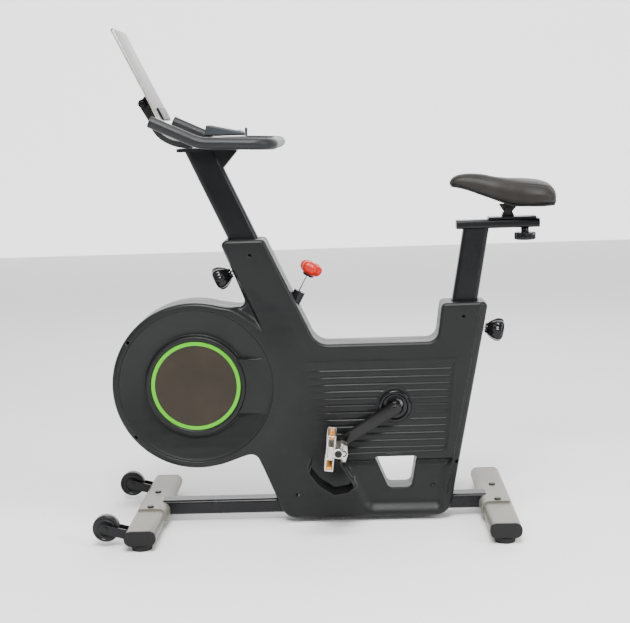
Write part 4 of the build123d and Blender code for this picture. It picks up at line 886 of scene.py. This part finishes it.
surface_object("tablet_ledge", *ledge, black_moulding, "tablet_body")
back_plate = plate(block((-20, 0), (200, 172), 8), -3.9, -3.2, 0.3, *tablet_view)
surface_object("tablet_back", *back_plate, black_moulding, "tablet_body")
hinge_section = [(0, 27.4), (3.6, 27.4), (4.4, 26.6), (6.4, 26.4), (7.4, 27.2), (9.0, 27.0),
                 (10.2, 25.6), (10.2, 18), (0, 18)]
hinges = [turned(hinge_section, (-434, 0, 1079), (0, side, 0), 48) for side in (-1, 1)]
surface_object("hinge_discs", *joined(*hinges), gloss_black, "handlebar_body")

# ---- seat slide ------------------------------------------------------------------------------
# A black tube across the top of the seat post, closed by a moulded plug with a rounded edge at each
# end. The tube and the carriage on it are painted like the post.
end_view = ((0, 0, 0), (0, 1, 0), (0, 0, 1), (1, 0, 0))
seat_end_plugs = [plate(block((0, 754), (40, 22), 7), *span, 1.6, *end_view)
                  for span in ((338.6, 343.0), (542.0, 546.4))]
surface_object("seat_rail_plugs", *joined(*seat_end_plugs), black_moulding, "seat_post_body")

# ---- saddle ----------------------------------------------------------------------------------
# A foam pad under a brown-grey grained vinyl, drawn down over the pan: a long nose, a wide crowned
# back, a sewn seam with twin rows of stitches along each flank, and a piped lower edge.
# Station rows: top x, top z, under x, under z, half width.
seam_angle = 0.86
saddle_stations = [(323.6, 858.5, 324.6, 855.5, 4), (326.5, 866, 329, 852.4, 13),
                   (334, 873.4, 338, 850.4, 20), (350, 879.4, 356, 847.4, 25), (375, 881, 382, 837.4, 29),
                   (405, 878.4, 410, 826.4, 34), (438, 872.4, 440, 814.4, 44),
                   (472, 868, 471, 803.4, 64), (505, 865.8, 502, 800.6, 84),
                   (533, 863, 530, 800.4, 95), (554, 858.6, 552, 800.6, 97), (568, 851.8, 566, 801.2, 92),
                   (577, 842.4, 575, 802.4, 80), (581.4, 832.4, 580, 806.4, 57), (582.4, 824, 582, 814, 22)]


def saddle_surface(along, around):
    """Where the pad's skin is: the station rows are read along the saddle and give a slanted section,
    whose upper half is a crowned arch and whose lower half tucks in flat; a hollow runs down the middle
    and the seams sink in at a fixed angle on each flank. Angle 0 is the right edge, a half turn the left."""
    rows = smooth_rows(saddle_stations, 24)
    place = along * (len(rows) - 1)
    row = np.stack([np.interp(place, np.arange(len(rows)), rows[:, c]) for c in range(5)])
    top_x, top_z, under_x, under_z, half = row
    rise = np.sin(around)
    spread = np.cos(around)
    over = rise > 0
    bow = np.where(over, 0.92, 0.62)
    lift = np.where(over, np.abs(rise)**0.98, -np.abs(rise)**0.5)
    y = half * np.sign(spread) * np.abs(spread)**bow
    level = np.where(over, 0.40 + 0.60 * lift, 0.40 + 0.40 * lift)
    back = ease((top_x - 410) / 60) * ease((572 - top_x) / 40)
    channel = 4.5 * back * np.exp(-(y / 11)**2) * over
    seam = 1.3 * np.exp(-((np.abs(np.abs(around) - pi / 2) - seam_angle) / 0.035)**2) * over * ease(half / 20)
    x = under_x + (top_x - under_x) * level
    z = under_z + (top_z - under_z) * level - channel - 0.6 * seam
    return np.stack([x, y * (1 - seam / np.maximum(half, 12)), z], -1)


rows, spokes = 220, 320
grid_along, grid_around = np.meshgrid(np.linspace(0, 1, rows),
                                      np.linspace(-pi, pi, spokes, endpoint=False), indexing="ij")
saddle_points = saddle_surface(grid_along, grid_around).reshape(-1, 3)
saddle_ends = [list(range(spokes)), list(range((rows - 1) * spokes, rows * spokes))]
saddle_faces = grid_faces(rows, spokes).tolist() + saddle_ends


def grained_vinyl(name, colour, grain_scale):
    """Soft vinyl: cell-shaped leather grain in bump, fine creases, a tone that changes in patches, and a
    gloss that is polished in patches."""
    material, shade, links, shader = new_finish(name)
    coordinates = put(shade, "TexCoord")
    pebble = put(shade, "TexVoronoi", Scale=grain_scale)
    pebble.feature = "DISTANCE_TO_EDGE"
    crease = put(shade, "TexNoise", Scale=60, Detail=6)
    cloud = put(shade, "TexNoise", Scale=12)
    tone = tones(shade, times(colour, 0.8), times(colour, 1.15))
    gloss = put(shade, "MapRange", To_Min=0.40, To_Max=0.56)
    grain = put(shade, "Bump", Strength=0.5, Distance=0.0005)
    fine = put(shade, "Bump", Strength=0.25, Distance=0.001)
    for texture in (pebble, crease, cloud):
        wire(links, (coordinates, "Object", texture, "Vector"))
    wire(links, (cloud, "Fac", tone, "Fac"), (tone, "Color", shader, "Base Color"),
         (cloud, "Fac", gloss, "Value"), (gloss, "Result", shader, "Roughness"),
         (pebble, "Distance", grain, "Height"), (crease, "Fac", fine, "Height"),
         (fine, "Normal", grain, "Normal"), (grain, "Normal", shader, "Normal"))
    return material


saddle_vinyl = grained_vinyl("saddle_vinyl", (0.015, 0.0130, 0.0112), 520)
pad = surface_object("saddle_pad", saddle_points, saddle_faces, saddle_vinyl, "saddle_body")
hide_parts("saddle_cushion")


def stitch_rows(count, length, thickness):
    """Short rounded stitches lying in rows beside each seam: one small spindle, turned to the seam's run
    and repeated at even steps."""
    spindle = np.array([(-0.5, 0.25), (-0.3, 0.9), (0.3, 0.9), (0.5, 0.25)])
    spokes = np.linspace(0, 2 * pi, 6, endpoint=False)
    shapes = []
    for flank in (-1, 1):
        for offset in (-0.075, 0.075):
            along = np.linspace(0.16, 0.93, count)
            around = np.full(count, pi / 2 + flank * (seam_angle + offset))
            middle = saddle_surface(along, around)
            ahead = saddle_surface(along + 0.004, around) - middle
            ahead /= np.linalg.norm(ahead, axis=1)[:, None]
            over = saddle_surface(along, around + 0.02) - middle
            out = np.cross(ahead, over)
            out /= np.linalg.norm(out, axis=1)[:, None]
            side = np.cross(out, ahead)
            ring = (np.cos(spokes)[:, None] * side[:, None, None]
                    + np.sin(spokes)[:, None] * out[:, None, None])
            points = (middle[:, None, None] + spindle[:, 0, None, None] * length * ahead[:, None, None]
                      + spindle[:, 1, None, None] * thickness / 2 * ring)
            base = grid_faces(4, 6)
            faces = (base[None] + 24 * np.arange(count)[:, None, None]).reshape(-1, 4)
            shapes.append((points.reshape(-1, 3), faces))
    return joined(*shapes)


thread = moulded_plastic("thread", (0.035, 0.031, 0.027), 0.6, 0.4, 2000)
surface_object("saddle_stitches", *stitch_rows(64, 3.4, 1.0), thread, "saddle_body")


def piping(radius, steps, spokes):
    """A round welt along the pad's lower edge: a circle carried round the saddle's lowest fold."""
    along = np.concatenate([np.linspace(0.03, 0.985, steps), np.linspace(0.985, 0.03, steps)])
    around = np.concatenate([np.full(steps, -0.62), np.full(steps, -pi + 0.62)])
    line = saddle_surface(along, around)
    run = np.roll(line, -1, 0) - np.roll(line, 1, 0)
    run /= np.linalg.norm(run, axis=1)[:, None]
    side = np.cross(run, (0, 0, 1.0))
    side /= np.linalg.norm(side, axis=1)[:, None]
    angle = np.linspace(0, 2 * pi, spokes, endpoint=False)
    ring = np.cos(angle)[:, None] * side[:, None] + np.sin(angle)[:, None] * np.cross(side, run)[:, None]
    return (line[:, None] + radius * ring).reshape(-1, 3), grid_faces(len(line), spokes, wrap_rows=True)


surface_object("saddle_piping", *piping(1.7, 120, 10), black_moulding, "saddle_body")
